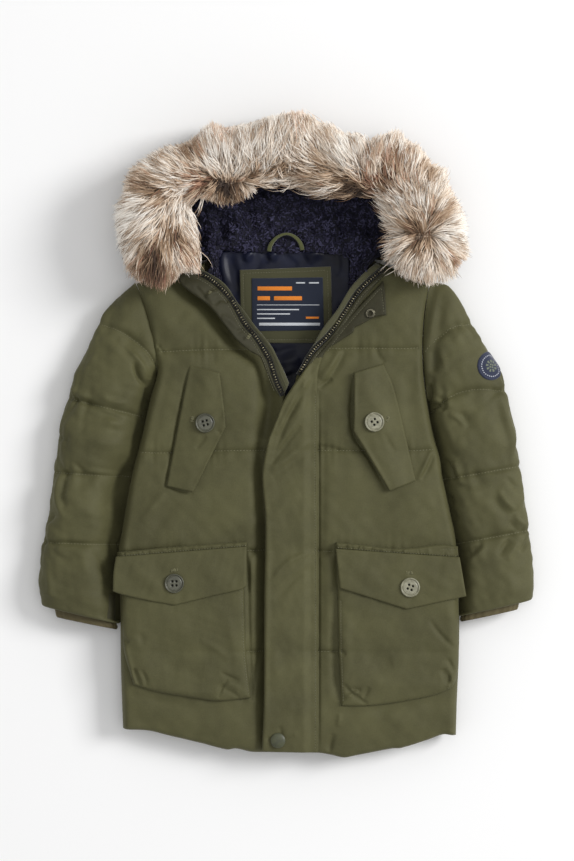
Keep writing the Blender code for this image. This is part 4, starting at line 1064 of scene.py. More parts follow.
# where the storm flap's turned back top takes painted shade
def turned_back(places):
    return (follow(places, TURNED_BACK)[1] < 0) & (column_row(places)[1] < 358)


stitched_cloth("storm_flap", STORM_FLAP, storm_lift, FLAP_WALL, STORM_ROWS, STORM_CREASES,
               seed=31, soft=0.35, turned=turned_back, spacing=1.8, roll=1.5)

# %% Chest flaps
CHEST_FLAPS = {
    "right": ((190, 365), (220, 373), (224, 405), (226, 427), (193.5, 492), (167, 486)),
    "left": ((353.5, 373), (383, 364), (393, 387), (415.5, 480.5), (389, 491), (353, 431)),
}
CHEST_CREASES = {
    "right": (
        (207, 436, 202, 442, 196, 449, 2.4, -1.3, 0.4), (216, 430, 219, 432, 222, 434, 2.2, -0.9),
        (216, 420, 221, 415, 225, 412, 2.6, -0.7), (196, 372, 206, 384, 214, 398, 6, 0.8),
        (184, 430, 182, 450, 180, 470, 7, 0.7), (222, 376, 225.5, 404, 226, 424, 2.2, 0.9),
        (225, 430, 210, 460, 195, 488, 2.2, 0.9),
    ),
    "left": (
        (384, 432, 390, 444, 396, 452, 3, -0.8, 0.4), (362, 380, 368, 396, 371, 408, 7, 0.8),
        (372, 436, 382, 456, 392, 474, 7, 0.8), (355, 376, 354.5, 404, 355, 430, 2.2, 0.9),
        (357, 435, 373, 461, 389, 487, 2.2, 0.9),
    ),
}
CHEST_SEWN = {"right": ((190, 365), (167, 486)), "left": ((383, 364), (393, 387), (415.5, 480.5))}
CHEST_STAND = {"right": 3.4, "left": 5.2}       # mm that the free edge stands off
for number, (side, outline) in enumerate(CHEST_FLAPS.items()):
    sewn = smooth(at(CHEST_SEWN[side]), 4.0)

    def lift(places, sewn=sewn, stand=CHEST_STAND[side]):
        free = np.clip(follow(places, sewn)[0] / 26, 0, 1)
        return 0.4 + stand * soft_step(free)

    stitched_cloth(f"chest_flap_{side}", outline, lift, 2.6, creases=CHEST_CREASES[side],
                   seed=50 + number, spacing=1.8, roll=1.4, corner=math.radians(14))

# %% Patch pockets
POCKETS = {
    "right": (
        (122, 566), (244, 560), (246, 648), (251, 697), (219, 700), (186, 696), (157, 691),
        (134, 684), (128, 665), (124, 648),
    ),
    "left": (
        (337, 563), (458, 570), (459, 650), (455, 681), (441, 692), (406, 700), (368, 705),
        (341, 705), (338, 640),
    ),
}
POCKET_ROWS = {
    "right": (((242, 590), (243, 620), (243.8, 648), (248.5, 694)),),
    "left": (((340.6, 600), (341, 640), (343, 700)),),
}
POCKET_CREASES = {
    "right": (
        (124, 635, 126, 639, 129, 643, 2.4, -2, 0.8), (126, 646, 131, 664, 136, 684, 2.6, 1.2),
        (134, 667, 138, 676, 141, 685, 2.4, -3, 1),
        (141, 668, 146, 676, 148, 686, 2.6, -1.6, 0.8),
        (221, 671, 231, 676, 240, 679, 2.2, -1.6, 0.6),
        (218, 697, 222, 686, 228, 678, 2.2, -1.6, 0.6),
        (224, 688, 232, 690.5, 241, 697, 2.4, -1.2, 0.6), (222, 682, 231, 683, 240, 688, 3, 1.2),
        (200, 640, 215, 648, 230, 660, 4, 1, 0.6), (139, 630, 142, 637, 143, 645, 4, -1),
        (150, 600, 170, 622, 200, 634, 12, 1.2), (150, 687, 186, 691, 222, 691, 5, 1.4),
        (134, 620, 140, 650, 150, 676, 8, 1), (226, 606, 233, 640, 236, 668, 6, 1),
        (160, 650, 180, 668, 204, 672, 11, -1.2),
    ),
    "left": (
        (343, 682, 352, 692, 368, 703, 2.4, -2, 0.8), (352, 689, 356, 688, 361, 689, 2, -1.2),
        (362, 697, 366, 691, 368, 685, 2.4, -1.6, 0.6), (345, 697, 352, 693, 358, 690, 2.4, 1.4),
        (339.5, 649, 342, 651, 345.5, 654.5, 2.2, -1.6),
        (429, 618, 439, 632, 455, 648, 2.8, -1.5, 0.8),
        (447, 657, 451, 665, 455, 673, 2.4, -1.6, 0.5),
        (442, 667, 446, 675, 450, 684, 3.2, -2.8, 1), (453, 672, 450, 680, 447, 688, 2.6, 1.6),
        (350, 672, 392, 684, 436, 678, 9, 1.2), (360, 620, 392, 634, 424, 640, 12, 1),
        (366, 652, 380, 662, 392, 660, 10, -1.6), (348, 610, 346, 640, 350, 672, 6, 1),
        (446, 600, 450, 630, 448, 660, 6, 1),
    ),
}
for number, (side, outline) in enumerate(POCKETS.items()):
    ring = closed_path(smooth(at(outline), 4.0, closed=True))
    mouth = at(outline[:2])

    def lift(places, ring=ring, mouth=mouth):
        from_rim = follow(places, ring)[0]
        from_mouth = follow(places, mouth)[0]
        sewn = np.where(from_rim >= from_mouth - 0.01, 30.0, from_rim)
        return 0.3 + 3.0 * rounded(sewn, 14.0)

    stitched_cloth(f"pocket_{side}", outline, lift, 3.0, POCKET_ROWS[side],
                   POCKET_CREASES[side], seed=60 + number, soft=0.3, spacing=2.0, roll=3.2,
                   corner=math.radians(50))

# %% Pocket strips and pocket flaps
POCKET_STRIPS = {
    "right": ((117.5, 552), (150, 548.6), (200, 544.4), (247.5, 541), (247, 546.5), (200, 550.3),
              (150, 554.3), (117.5, 557)),
    "left": ((335.5, 542), (363, 544.6), (391, 548), (411, 547.5), (441, 544), (457.5, 546),
             (458.5, 557.5), (414, 554.2), (380, 552), (336, 548.5)),
}
draw = np.random.default_rng(17)


def rough_strip(ends, count):
    """Short uneven wrinkles across a strip that two rows of stitches pull together."""
    (first, last) = np.array(ends, float)
    table = []
    for share in np.sort(draw.uniform(0.03, 0.97, count)):
        foot = first + (last - first) * share
        lean = draw.uniform(-3.5, 5.5)
        head = foot + (lean, -draw.uniform(4, 8))
        middle = (foot + head) / 2 + draw.uniform(-0.8, 0.8, 2)
        table.append((*foot, *middle, *head, draw.uniform(1.2, 2.2),
                      draw.choice((-0.7, -0.5, 0.4, 0.6))))
    return table


STRIP_ENDS = {"right": ((119, 556), (246, 547)), "left": ((337, 548.5), (458, 557))}
STRIP_ROWS = {
    "right": (((118.5, 555.6), (150, 552.8), (200, 548.8), (246.5, 545)),),
    "left": (((336.5, 547), (351, 548), (380, 550.6), (414, 552.8), (457.5, 555.8)),
             ((441, 548.5), (450, 548.5), (457.5, 549))),
}
POCKET_FLAPS = {
    "right": ((116.5, 556), (247, 545.6), (246.5, 586), (241, 589), (210, 596), (175, 604.5),
              (150, 600), (120, 593), (113.5, 590.5), (114.2, 572)),
    "left": ((335.3, 548), (459, 556.5), (465.5, 595.5), (406, 608.5), (376, 599), (339.5, 587.5)),
}
FLAP_CREASES = {
    "right": (
        (180, 568, 176, 574, 170, 577, 3, 0.6), (130, 570, 150, 580, 160, 592, 7, 0.9),
        (200, 566, 215, 576, 236, 582, 7, 0.8), (186, 590, 182, 596, 176, 601, 4, -0.6),
    ),
    "left": (
        (404, 572, 409, 577, 415, 579, 3, 0.6), (350, 562, 368, 574, 384, 590, 7, 0.9),
        (424, 568, 436, 580, 450, 588, 7, 0.8), (412, 592, 410, 598, 405, 604, 4, -0.6),
    ),
}
FLAP_LIFT = 6.6
OFF_THE_SIDE = 26.0         # mm; the flaps stand out past the side seams without following them


def tucked_form(places):
    return front_form(places, OFF_THE_SIDE)


for number, side in enumerate(POCKET_FLAPS):
    stitched_cloth(f"pocket_strip_{side}", POCKET_STRIPS[side], level(0.3), 8.4,
                   STRIP_ROWS[side], rough_strip(STRIP_ENDS[side], 34), seed=70 + number,
                   soft=0.4, spacing=1.3, roll=1.8, step=1.5)
    stitched_cloth(f"pocket_flap_{side}", POCKET_FLAPS[side], level(FLAP_LIFT), 3.0,
                   creases=FLAP_CREASES[side], seed=80 + number, soft=0.3, base=tucked_form,
                   spacing=1.8, roll=1.4, corner=math.radians(10))

# %% [markdown]
# ## Inside the open neck
# Behind the open collar lies the back lining of navy satin. A twill patch is sewn on it, with a
# woven label on the patch and a hanger loop of folded tape above. Satin floats most of its
# threads on the face, so it is smooth and shines in long soft streaks across its folds.

# %% Satin, twill and woven label finishes
def satin(name, dark, light):
    made, tree, shader = start(name)
    place = add(tree, "TexCoord").outputs["Object"]
    cloud = add(tree, "TexNoise", {"Vector": place, "Scale": 30, "Detail": 3})
    ramp = add(tree, "ValToRGB", {"Fac": cloud.outputs["Fac"]}, ((0.35, dark), (0.65, light)))
    thread = add(tree, "TexWave", {"Vector": place, "Scale": wave_scale(1.2), "Distortion": 1.0},
                 bands_direction="X")
    relief = add(tree, "Bump", {"Strength": 0.05, "Distance": 0.0003,
                                "Height": thread.outputs["Fac"]})
    give(tree, shader, Base_Color=ramp.outputs["Color"], Normal=relief.outputs[0],
         Roughness=0.36, IOR=1.5, Specular_IOR_Level=0.17, Anisotropic=0.4, Sheen_Weight=0.02)
    return made


def yarn(name, dark, light, pitch_mm=1.0, depth=0.25, roughness=0.8, sheen=0.25):
    """Coarse woven or knitted yarn, with a relief pitch_mm apart in both directions."""
    made, tree, shader = start(name)
    place = add(tree, "TexCoord").outputs["Object"]
    thread = {"Vector": place, "Scale": wave_scale(pitch_mm)}
    warp = add(tree, "TexWave", thread, bands_direction="X")
    weft = add(tree, "TexWave", thread, bands_direction="Y")
    weave = add(tree, "Math", {0: warp.outputs["Fac"], 1: weft.outputs["Fac"]},
                operation="MULTIPLY")
    ramp = add(tree, "ValToRGB", {"Fac": weave.outputs[0]}, ((0, dark), (0.6, light)))
    relief = add(tree, "Bump", {"Strength": depth, "Distance": 0.0005,
                                "Height": weave.outputs[0]})
    give(tree, shader, Base_Color=ramp.outputs["Color"], Normal=relief.outputs[0],
         Roughness=roughness, IOR=1.5, Specular_IOR_Level=0.3, Sheen_Weight=sheen)
    return made


navy_satin = satin("polyester_satin_navy", "080a16", "13172b")
twill_patch = yarn("cotton_twill_olive", "3d3c26", "4a492f")
label_ground = yarn("damask_label_navy", "151b2a", "1e273a", pitch_mm=0.8)
label_orange = yarn("damask_thread_orange", "c9701d", "f39233", pitch_mm=0.7)
label_white = yarn("damask_thread_white", "b0b5bb", "e2e4e8", pitch_mm=0.7)
loop_tape = yarn("folded_tape_olive", "474a29", "5b5f37", pitch_mm=0.9)
ribbed_tape = yarn("grosgrain_tape_olive", "3e3d29", "55543a", pitch_mm=0.9)
# a near-black finish for the open zip's tape and the button holes: painted shade
tape_shaded = yarn("woven_tape_painted_shade", "100f0b", "1d1c14", pitch_mm=0.9)
thread_olive = yarn("sewing_thread_olive", "5d5b42", "7c7a5a", pitch_mm=0.6)
thread_pale = yarn("sewing_thread_pale_olive", "6c6a49", "8a8765", pitch_mm=0.6)
print("woven finishes:", twill_patch.name, label_ground.name, ribbed_tape.name)

# %% Satin, patch and label
SATIN = (
    (222, 290), (216, 276), (214.5, 262), (216, 250), (348, 251), (350, 257),
    (350, 273), (350, 292), (350, 415), (228, 415),
)
SATIN_FOLDS = (
    (228, 254, 233, 272, 238, 300, 4, -1.6), (236, 252, 240, 266, 243, 290, 3, 1),
    (250, 248, 248.5, 253, 244, 260, 5, 3.6, 0.9), (274, 248, 273, 253, 269, 259, 5.5, 3.4, 0.9),
    (318, 247, 314, 252, 306, 258, 7.5, 4.8, 1.2), (262, 350, 280, 362, 300, 358, 5, 1.4),
    (256, 346, 276, 354, 296, 348, 4, -1.2), (270, 372, 286, 378, 298, 372, 4, -1.4),
    (274, 362, 282, 380, 286, 398, 4, 1.2, 0.8), (222, 250, 222.5, 264, 226, 284, 4, 1.8),
    (262, 248, 265, 255, 269, 262, 2.4, -2.2), (284, 254, 290, 260, 298, 266, 2.6, -2.2),
    (336, 250, 338, 262, 336, 276, 3, -1.6),
)
PATCH = ((239.5, 269.5), (331, 266), (333, 343), (241, 343))
LABEL = ((251.5, 278), (323, 277), (324, 330), (252, 331))


def inner_piece(name, outline, base, wall, look, slot, folds=(), wave=0.2, rows=(), seed=1,
                **more):
    """A thin piece on a level base in the open neck."""
    paths = [smooth(at(row), 2.0) for row in rows]
    near = [beside(path, shift) for path in paths for shift in (-0.9, 0.0, 0.9)]

    def top(places):
        waves = wave * np.abs(ripples(places, 34, seed))
        relief = waves - wave + strokes(places, folds, 1.25) + groove(places, paths, 0.4)
        return base + np.maximum(wall + relief, 0.3)

    cloth(name, outline, top, level(base), look, slot, [name], lines=near, **more)
    for path in paths:
        stitch_rows.append(np.column_stack((path, top(path))))


inner_piece("back_lining", SATIN, 11.3, 2.0, navy_satin, "satin_lining", SATIN_FOLDS, 0.9,
            seed=90, spacing=2.3)
PATCH_ROW = ((243, 273), (327.5, 270), (329.5, 339.5), (244.5, 339.5), (243, 273))
inner_piece("neck_patch", PATCH, 13.9, 1.7, twill_patch, "shell_cloth", wave=0.3,
            rows=[PATCH_ROW[:2], PATCH_ROW[1:3], PATCH_ROW[2:4], PATCH_ROW[3:]], seed=91,
            spacing=2.2, roll=0.8)
inner_piece("neck_label", LABEL, 15.5, 0.8, label_ground, "woven_label", wave=0.1, seed=92,
            spacing=2.4, roll=0.3)

# %% The label's generic weave
LABEL_TOP = 16.36           # mm, just over the label's face
THREAD_RISE = 0.14


def bars(name, rows, look, slot="woven_label"):
    """Plain raised bars of floating thread. A row is (first column, last column, row, height),
    all in squares."""
    points, faces = [], []
    for first, last, row, tall in rows:
        corners = at([(first, row), (last, row), (last, row - tall), (first, row - tall)])
        middle = corners.mean(0)
        count = len(points)
        inner = middle + np.sign(corners - middle) * (np.abs(corners - middle) - 0.25)
        points += [(*corner, LABEL_TOP) for corner in corners]
        points += [(*corner, LABEL_TOP + THREAD_RISE) for corner in inner]
        for i in range(4):
            j = (i + 1) % 4
            faces.append(tuple(count + k for k in (i, j, 4 + j, 4 + i)))
        faces.append(tuple(count + k for k in (4, 5, 6, 7)))
    return new_piece(name, np.array(points), faces, look, slot)


bars("label_bars_orange", (
    (257.5, 292, 290.2, 4.0), (257.5, 270, 300.0, 4.0), (274, 302, 300.0, 4.0),
    (306, 319, 318.5, 2.0),
), label_orange)
bars("label_bars_white", (
    (257, 319.5, 305.0, 0.6), (257, 299, 309.9, 1.1), (257, 290, 314.3, 1.1),
    (257, 275, 318.7, 1.1), (259, 320, 325.4, 2.8), (296, 305, 283.2, 1.3), (309, 319, 283.2, 1.3),
), label_white)

# %% Hanger loop
LOOP_PATH = (
    (269, 251), (270, 246), (273.5, 240.5), (279, 236), (287, 233.8), (294, 236.2),
    (299, 241), (301.5, 246), (302.5, 251),
)
LOOP_WIDTH = 5.2
LOOP_BASE = 16.4
LOOP_RISE = 6.0             # the loop arches over the lower edge of the fleece


def strip_piece(name, path, width, base, rise, look, slot, nodes, columns=9, edge=0.6):
    """A tape along a path of places: a closed grid with soft edges."""
    across = np.linspace(-1, 1, columns)
    rows = []
    path = path[::2]
    base = base + np.zeros(len(path))
    wide = (width + np.zeros(len(path)))[:, None]
    for sign in (1, -1):
        for share in across[::sign]:
            lip = rounded((1 - abs(share)) * wide[:, 0] / 2, edge)
            line = path + (beside(path, 1.0) - path) * share * wide / 2
            rows.append(np.column_stack((line, base + rise * lip * (sign > 0))))
    grid = np.array(rows).transpose(1, 0, 2)
    faces = ring_faces(len(path), 2 * columns)
    return new_piece(name, grid.reshape(-1, 3), faces, look, slot, nodes)


loop_line = smooth(at(LOOP_PATH), 1.5)
swing = np.sin(math.pi * np.linspace(0, 1, len(loop_line[::2])))
arch = LOOP_BASE + LOOP_RISE * swing ** 0.7
strip_piece("hanger_loop", loop_line, LOOP_WIDTH * (1 - 0.4 * swing ** 2), arch, 2.0, loop_tape,
            "tape", ["hanger_loop"])

# %% [markdown]
# ## Zip, wind guards and edge bands
# Each side of the open zip is a row of cast teeth on a tape. A ribbed wind guard lies on its
# inner side and a turned edge band on its outer side, both thicker than the teeth, so the teeth
# sit in a narrow dark channel. Antique metal is grey brass with the raised parts rubbed bright.

# %% Metal and resin finishes
def speckled(name, pattern, tones, depth, **surface):
    """A finish whose tone and fine relief follow one cloudy pattern. tones are its dark and its
    light stop, and depth is how strong the relief is and how deep in metres."""
    made, tree, shader = start(name)
    place = add(tree, "TexCoord").outputs["Object"]
    cloud = add(tree, "TexNoise", {"Vector": place, **pattern}).outputs["Fac"]
    ramp = add(tree, "ValToRGB", {"Fac": cloud}, tones)
    relief = add(tree, "Bump", {"Strength": depth[0], "Distance": depth[1], "Height": cloud})
    give(tree, shader, Base_Color=ramp.outputs["Color"], Normal=relief.outputs[0], **surface)
    return made


def rubbed_metal(name, dark, light, roughness=0.35):
    """Cast or stamped metal that is darkened and then rubbed, with small bright worn spots."""
    return speckled(name, {"Scale": 400, "Detail": 4}, ((0.4, dark), (0.65, light)),
                    (0.1, 0.0002), Roughness=roughness, Metallic=1.0)


def cast_resin(name, dark, light, roughness=0.38):
    """Polyester resin with a milky marble, cast and then tumbled until it is half glossy."""
    return speckled(name, {"Scale": 160, "Detail": 4, "Distortion": 1},
                    ((0.35, dark), (0.7, light)), (0.06, 0.0003), Roughness=roughness, IOR=1.54,
                    Coat_Weight=0.15, Coat_Roughness=0.25)


zip_metal = rubbed_metal("antique_brass_zip", "35322a", "a39c80")
bright_metal = rubbed_metal("nickel_plated_brass", "39372f", "777362", roughness=0.36)
# one resin for all four buttons: the right pair's darker copy is painted shade, the left pair's
# lighter copy painted light
horn_resin = {
    "right": cast_resin("polyester_resin_button_painted_shade", "3e3e30", "545443"),
    "left": cast_resin("polyester_resin_button_painted_light", "76745f", "97957f"),
}
enamel = cast_resin("olive_enamelled_cap", "373a24", "44472d", roughness=0.55)
for node in ("zip_chain_closed", "zip_slider", "zip_pull", "zip_tape_right", "zip_tape_left"):
    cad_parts[node].data.materials.clear()
    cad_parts[node].data.materials.append(ribbed_tape if "tape" in node else zip_metal)

# %% Channel of the zip
V_TEETH_RIGHT = ((192, 270), (212, 280.5), (228.5, 296), (237, 309.5), (245, 324), (255.5, 336.5),
                 (263, 348.5), (269.7, 361), (275, 378), (282.5, 396))
V_OUTER_RIGHT = ((176, 274), (184, 287), (206, 303.5), (215, 312.5), (221, 320.5), (228.5, 330),
                 (237.5, 341), (249.5, 351), (260.5, 357), (266, 371), (274, 389))
V_TEETH_LEFT = ((384, 268), (359, 291), (344, 313.5), (329, 334.5), (312.7, 351.3), (305, 363.3),
                (298.2, 375.3))
V_OUTER_LEFT = ((392, 270), (380, 280), (366, 297), (354, 313), (337, 336), (321, 352),
                (307, 371))
HALF_CHAIN = 2.8
TOOTH_PITCH = 3.0
RIB_PITCH = 2.4
BAND_CREASES = {
    "right": (
        (206, 300, 214, 294, 224, 292, 3, 1.8, 0.8), (214, 306, 220, 300, 228, 302, 2.6, -1.8),
        (221, 291, 224, 297, 229, 303, 2.4, -2), (222, 316, 232, 322, 240, 332, 3.6, 1.4),
        (236, 332, 243, 330, 250, 334, 2.4, -1.5, 0.5), (246, 350, 254, 356, 264, 362, 3.6, 1.4),
        (186, 282, 196, 284, 206, 292, 4, 1), (196, 286, 204, 296, 212, 306, 2.6, -1.2, 0.6),
        (240, 344, 250, 350, 262, 368, 2.6, -1, 0.6),
    ),
    "left": (
        (372, 288, 362, 298, 352, 308, 3, 1), (338, 328, 330, 336, 322, 348, 3, 1),
    ),
}
BAND_STAND = {"right": 6.5, "left": 1.5}    # mm that the band's outer edge stands up
GUARD_STAND = {"right": 3.0, "left": 1.0}


def open_side(side, inner, teeth, outer, turn):
    inner, teeth, outer = smooth(at(inner), 1.5), smooth(at(teeth), 1.5), smooth(at(outer), 1.5)
    guard_edge = beside(teeth, turn * (HALF_CHAIN + 0.3))
    band_edge = beside(teeth, -turn * (HALF_CHAIN + 0.3))
    to_squares = lambda path: path / (GRID, -GRID) + ORIGIN_SQUARE
    guard = to_squares(np.vstack((inner, guard_edge[::-1]))[::2])
    band = to_squares(np.vstack((outer, band_edge[::-1]))[::2])

    def guard_under(places):
        free = np.clip((follow(places, teeth)[0] - HALF_CHAIN) / 5, 0, 1)
        return front_form(places) + 0.3 + GUARD_STAND[side] * free

    def guard_top(places):
        across = follow(places, inner)[0]
        ribs = 0.25 * np.cos(across * 2 * math.pi / RIB_PITCH)
        return guard_under(places) + 2.2 + ribs

    cloth(f"wind_guard_{side}", guard, guard_top, guard_under, ribbed_tape, "tape",
          [f"wind_guard_{side}"], spacing=0.9, roll=0.9, corner=math.radians(60))
    edge_row = to_squares(beside(teeth, -turn * (HALF_CHAIN + 3.6)))[6:-6:4]

    def stand(places):
        out = np.clip((follow(places, teeth)[0] - 3) / 20, 0, 1)
        return 0.3 + BAND_STAND[side] * soft_step(out)

    # the edge bands take the darker copy of the shell cloth: painted shade
    stitched_cloth(f"edge_band_{side}", band, stand, 3.2, [edge_row], BAND_CREASES[side],
                   seed=95, look=shell_painted_deep_shade, spacing=1.5, roll=1.6, corner=math.radians(60))
    # the open zip's tape is near-black while the closed zip's tape is olive: painted shade in the
    # channel
    tape = strip_piece(f"zip_tape_open_{side}", teeth, 5.4, 0.0, 0.9, tape_shaded, "tape", (),
                       columns=5)
    tape.data.vertices.foreach_get("co", flat := np.zeros(len(tape.data.vertices) * 3))
    co = flat.reshape(-1, 3)
    co[:, 2] += (front_form(co[:, :2] / MM) + 0.35) * MM
    tape.data.vertices.foreach_set("co", co.ravel())
    return teeth


chains = {
    "right": open_side("right", V_EDGE_RIGHT, V_TEETH_RIGHT, V_OUTER_RIGHT, 1),
    "left": open_side("left", V_EDGE_LEFT, V_TEETH_LEFT, V_OUTER_LEFT, -1),
}

# %% Teeth
TOOTH = ((-1.5, -0.55), (0.4, -0.8), (1.7, -0.5), (1.7, 0.5), (0.4, 0.8), (-1.5, 0.55))


def teeth_row(side, path, turn):
    """Cast teeth along one edge of the open zip, in one mesh."""
    lengths = run_along(path)
    points, faces = [], []
    shape = np.array(TOOTH)
    for run in np.arange(2.0, lengths[-1] - 2.0, TOOTH_PITCH):
        centre = np.array([np.interp(run, lengths, path[:, k]) for k in (0, 1)])
        ahead = np.array([np.interp(run + 1, lengths, path[:, k]) for k in (0, 1)]) - centre
        ahead /= math.hypot(*ahead)
        aside = np.array((-ahead[1], ahead[0])) * turn
        flat = centre + shape[:, :1] * aside + shape[:, 1:] * ahead
        base = front_form(centre[None])[0] + 0.9
        first = len(points)
        for height, shrink in ((0.0, 1.0), (1.3, 1.0), (1.9, 0.7)):
            points += [(*(centre + (p - centre) * shrink), base + height) for p in flat]
        for layer in (0, 6):
            for i in range(6):
                j = (i + 1) % 6
                faces.append(tuple(first + layer + k for k in (i, j, 6 + j, 6 + i)))
        faces.append(tuple(first + 12 + k for k in range(6)))
        faces.append(tuple(first + k for k in reversed(range(6))))
    return new_piece(f"zip_teeth_{side}", np.array(points), faces, zip_metal, "zip_metal",
                     [f"zip_chain_{side}"])


teeth_row("right", chains["right"], 1)
teeth_row("left", chains["left"], -1)

# %% [markdown]
# ## Buttons, studs and badge
# The buttons are cast resin with a raised rim, a shallow dish and four holes, sewn through with
# thread. A button is turned from one profile, so it is made by sweeping that profile round its
# axis; the wells of the holes are pressed into the dish afterwards.

# %% Buttons
BUTTONS = {
    "button_chest_right": ((205.5, 423), 6.8, 15), "button_chest_left": ((374, 422), 8.6, 40),
    "button_pocket_right": ((175, 582.5), 9.9, 0), "button_pocket_left": ((409.5, 586.5), 9.9, 70),
}
BUTTON_PROFILE = (
    # radius, height: a flat dish, a narrow groove, a raised rim
    (0, 1.75), (7.6, 1.8), (8.2, 1.7), (8.6, 1.0), (9.0, 1.1), (9.4, 2.3), (10.0, 2.65),
    (10.5, 2.5), (11.0, 1.5),
)
HOLE_RADIUS = 1.3
HOLE_OFFSET = 2.3


def round_base(square, radius, lift):
    """Height just clear of the highest cloth under a round piece."""
    centre = at(square)
    turns = np.linspace(0, 2 * math.pi, 24)
    rim = centre + radius * np.column_stack((np.cos(turns), np.sin(turns)))
    return centre, front_form(np.vstack((centre, rim))).max() + lift


def button(name, square, lift, turn):
    centre, base = round_base(square, 11, lift)
    ring = np.array([(11 * math.cos(t), 11 * math.sin(t))
                     for t in even_turns(72)])
    turns = even_turns(16)
    angle = math.radians(turn)
    spin = np.array(((math.cos(angle), -math.sin(angle)), (math.sin(angle), math.cos(angle))))
    holes = [spin @ (x * HOLE_OFFSET, y * HOLE_OFFSET) for x in (-1, 1) for y in (-1, 1)]
    circles = [
        hole + radius * np.column_stack((np.cos(turns), np.sin(turns)))
        for hole in holes for radius in (0.5, HOLE_RADIUS, HOLE_RADIUS + 0.15)
    ]
    circles += [ring * (radius / 11) for radius in (7.9, 8.6, 9.05, 9.5, 10.1)]
    places, faces = fill(ring, 0.8, (0.12, 0.35, 0.7), circles)
    radius = np.hypot(places[:, 0], places[:, 1])
    high = np.interp(radius, *zip(*BUTTON_PROFILE))
    for hole in holes:
        away = np.hypot(*(places - hole).T)
        high = np.where(away < HOLE_RADIUS + 0.1, 0.25, high)
    rim = len(ring)
    low = np.where(radius > 10.2, 1.5 - 1.4 * rounded(11 - radius, 1.6), 0.1)
    points = np.vstack((np.column_stack((places, high)),
                        np.column_stack((places[rim:], low[rim:]))))
    faces = faces + facing_down(faces, rim, len(places) - rim)
    points += (*centre, base)
    middles = np.array([points[list(face), :2].mean(0) for face in faces]) - centre
    # faces inside the holes take the near-black finish: painted shade
    in_hole = np.min([np.hypot(*(middles - hole).T) for hole in holes], axis=0) < HOLE_RADIUS
    # the right buttons take the darker resin copy and the left ones the lighter: painted shade and
    # painted light
    new_piece(name, points, faces, [horn_resin[name.split("_")[-1]], tape_shaded],
              "horn_button", [name], look_of_face=in_hole)


def thread_bar(first, second, radius=0.38, sides=6):
    """A short soft thread between two points, bowed upwards."""
    first, second = np.array(first), np.array(second)
    ahead = (second - first) / np.linalg.norm(second - first)
    aside = np.cross(ahead, (0, 0, 1.0))
    points = []
    for share in np.linspace(0, 1, 7):
        middle = first + (second - first) * share + (0, 0, 0.75 * math.sin(math.pi * share))
        size = radius * (0.35 if share in (0, 1) else 1.0)
        for k in range(sides):
            angle = 2 * math.pi * k / sides
            points.append(middle + size * (math.cos(angle) * aside
                                           + math.sin(angle) * np.array((0, 0, 1.0))))
    return points, ring_faces(7, sides)


def join(parts):
    """Several (points, faces) as one."""
    points, faces = [], []
    for some_points, some_faces in parts:
        shift = len(points)
        points += list(some_points)
        faces += [tuple(corner + shift for corner in face) for face in some_faces]
    return np.array(points), faces


for name, (square, lift, turn) in BUTTONS.items():
    button(name, square, lift, turn)

# %% Bar tacks
TACKS = (
    # column, row, height over the form, lean in degrees, stitches
    (210, 294, 8.4, 60, 4), (249, 337, 9.0, 60, 4), (175, 569.5, 9.7, 5, 5),
    (193, 419, 5.5, 80, 4), (409, 572, 9.7, 5, 5), (387, 419, 6.7, 75, 4),
)
threads = []
draw = np.random.default_rng(23)
for column, row, height, lean, count in TACKS:
    middle = at((column, row))
    angle = math.radians(lean)
    ahead = np.array((math.cos(angle), math.sin(angle)))
    aside = np.array((-ahead[1], ahead[0]))
    base = front_form(middle[None])[0] + height
    for k in range(count):
        foot = middle + ahead * (k - (count - 1) / 2) * 1.5
        first = foot - aside * draw.uniform(1.5, 2.4)
        last = foot + aside * draw.uniform(1.5, 2.4) + ahead * draw.uniform(-0.6, 0.6)
        threads.append(thread_bar((*first, base), (*last, base), 0.42))
points, faces = join(threads)
new_piece("bar_tacks", points, faces, thread_pale, "shell_cloth")

# %% Press stud
STUD_PROFILE = ((0, 2.3), (3, 2.2), (5.5, 1.85), (7.3, 1.2), (8.1, 0.7), (8.5, 0.2), (8.2, 0))
SOCKET_PROFILE = (
    (2.6, 0.1), (2.6, 1.0), (2.9, 1.3), (3.4, 1.35), (3.9, 1.0), (4.5, 1.1), (5.1, 1.0),
    (5.5, 0.5), (5.4, 0.05),
)


def turned(name, square, lift, radius, profile, look, slot, count=64):
    """A profile swept round an upright axis."""
    centre, base = round_base(square, radius, lift)
    rows = smooth(np.array(profile, float), 0.35, corner=math.radians(60))
    turns = even_turns(count)
    grid = np.array([
        [(centre[0] + r * math.cos(t), centre[1] + r * math.sin(t), base + h) for t in turns]
        for r, h in rows if r > 0.01
    ])
    points, faces = grid.reshape(-1, 3), ring_faces(len(grid), count)
    if profile[0][0] == 0:
        points = np.vstack((points, (*centre, base + profile[0][1])))
        faces += [((i + 1) % count, i, len(points) - 1) for i in range(count)]
    return new_piece(name, points, faces, look, slot, [name])


turned("stud_hem", (278, 739), 7.6, 8.5, STUD_PROFILE, enamel, "stud_cap")
on_flap = storm_lift(at(((370, 314),)))[0] + FLAP_WALL + 0.5
turned("stud_socket", (370, 314), on_flap, 5.5, SOCKET_PROFILE, bright_metal, "stud_metal")

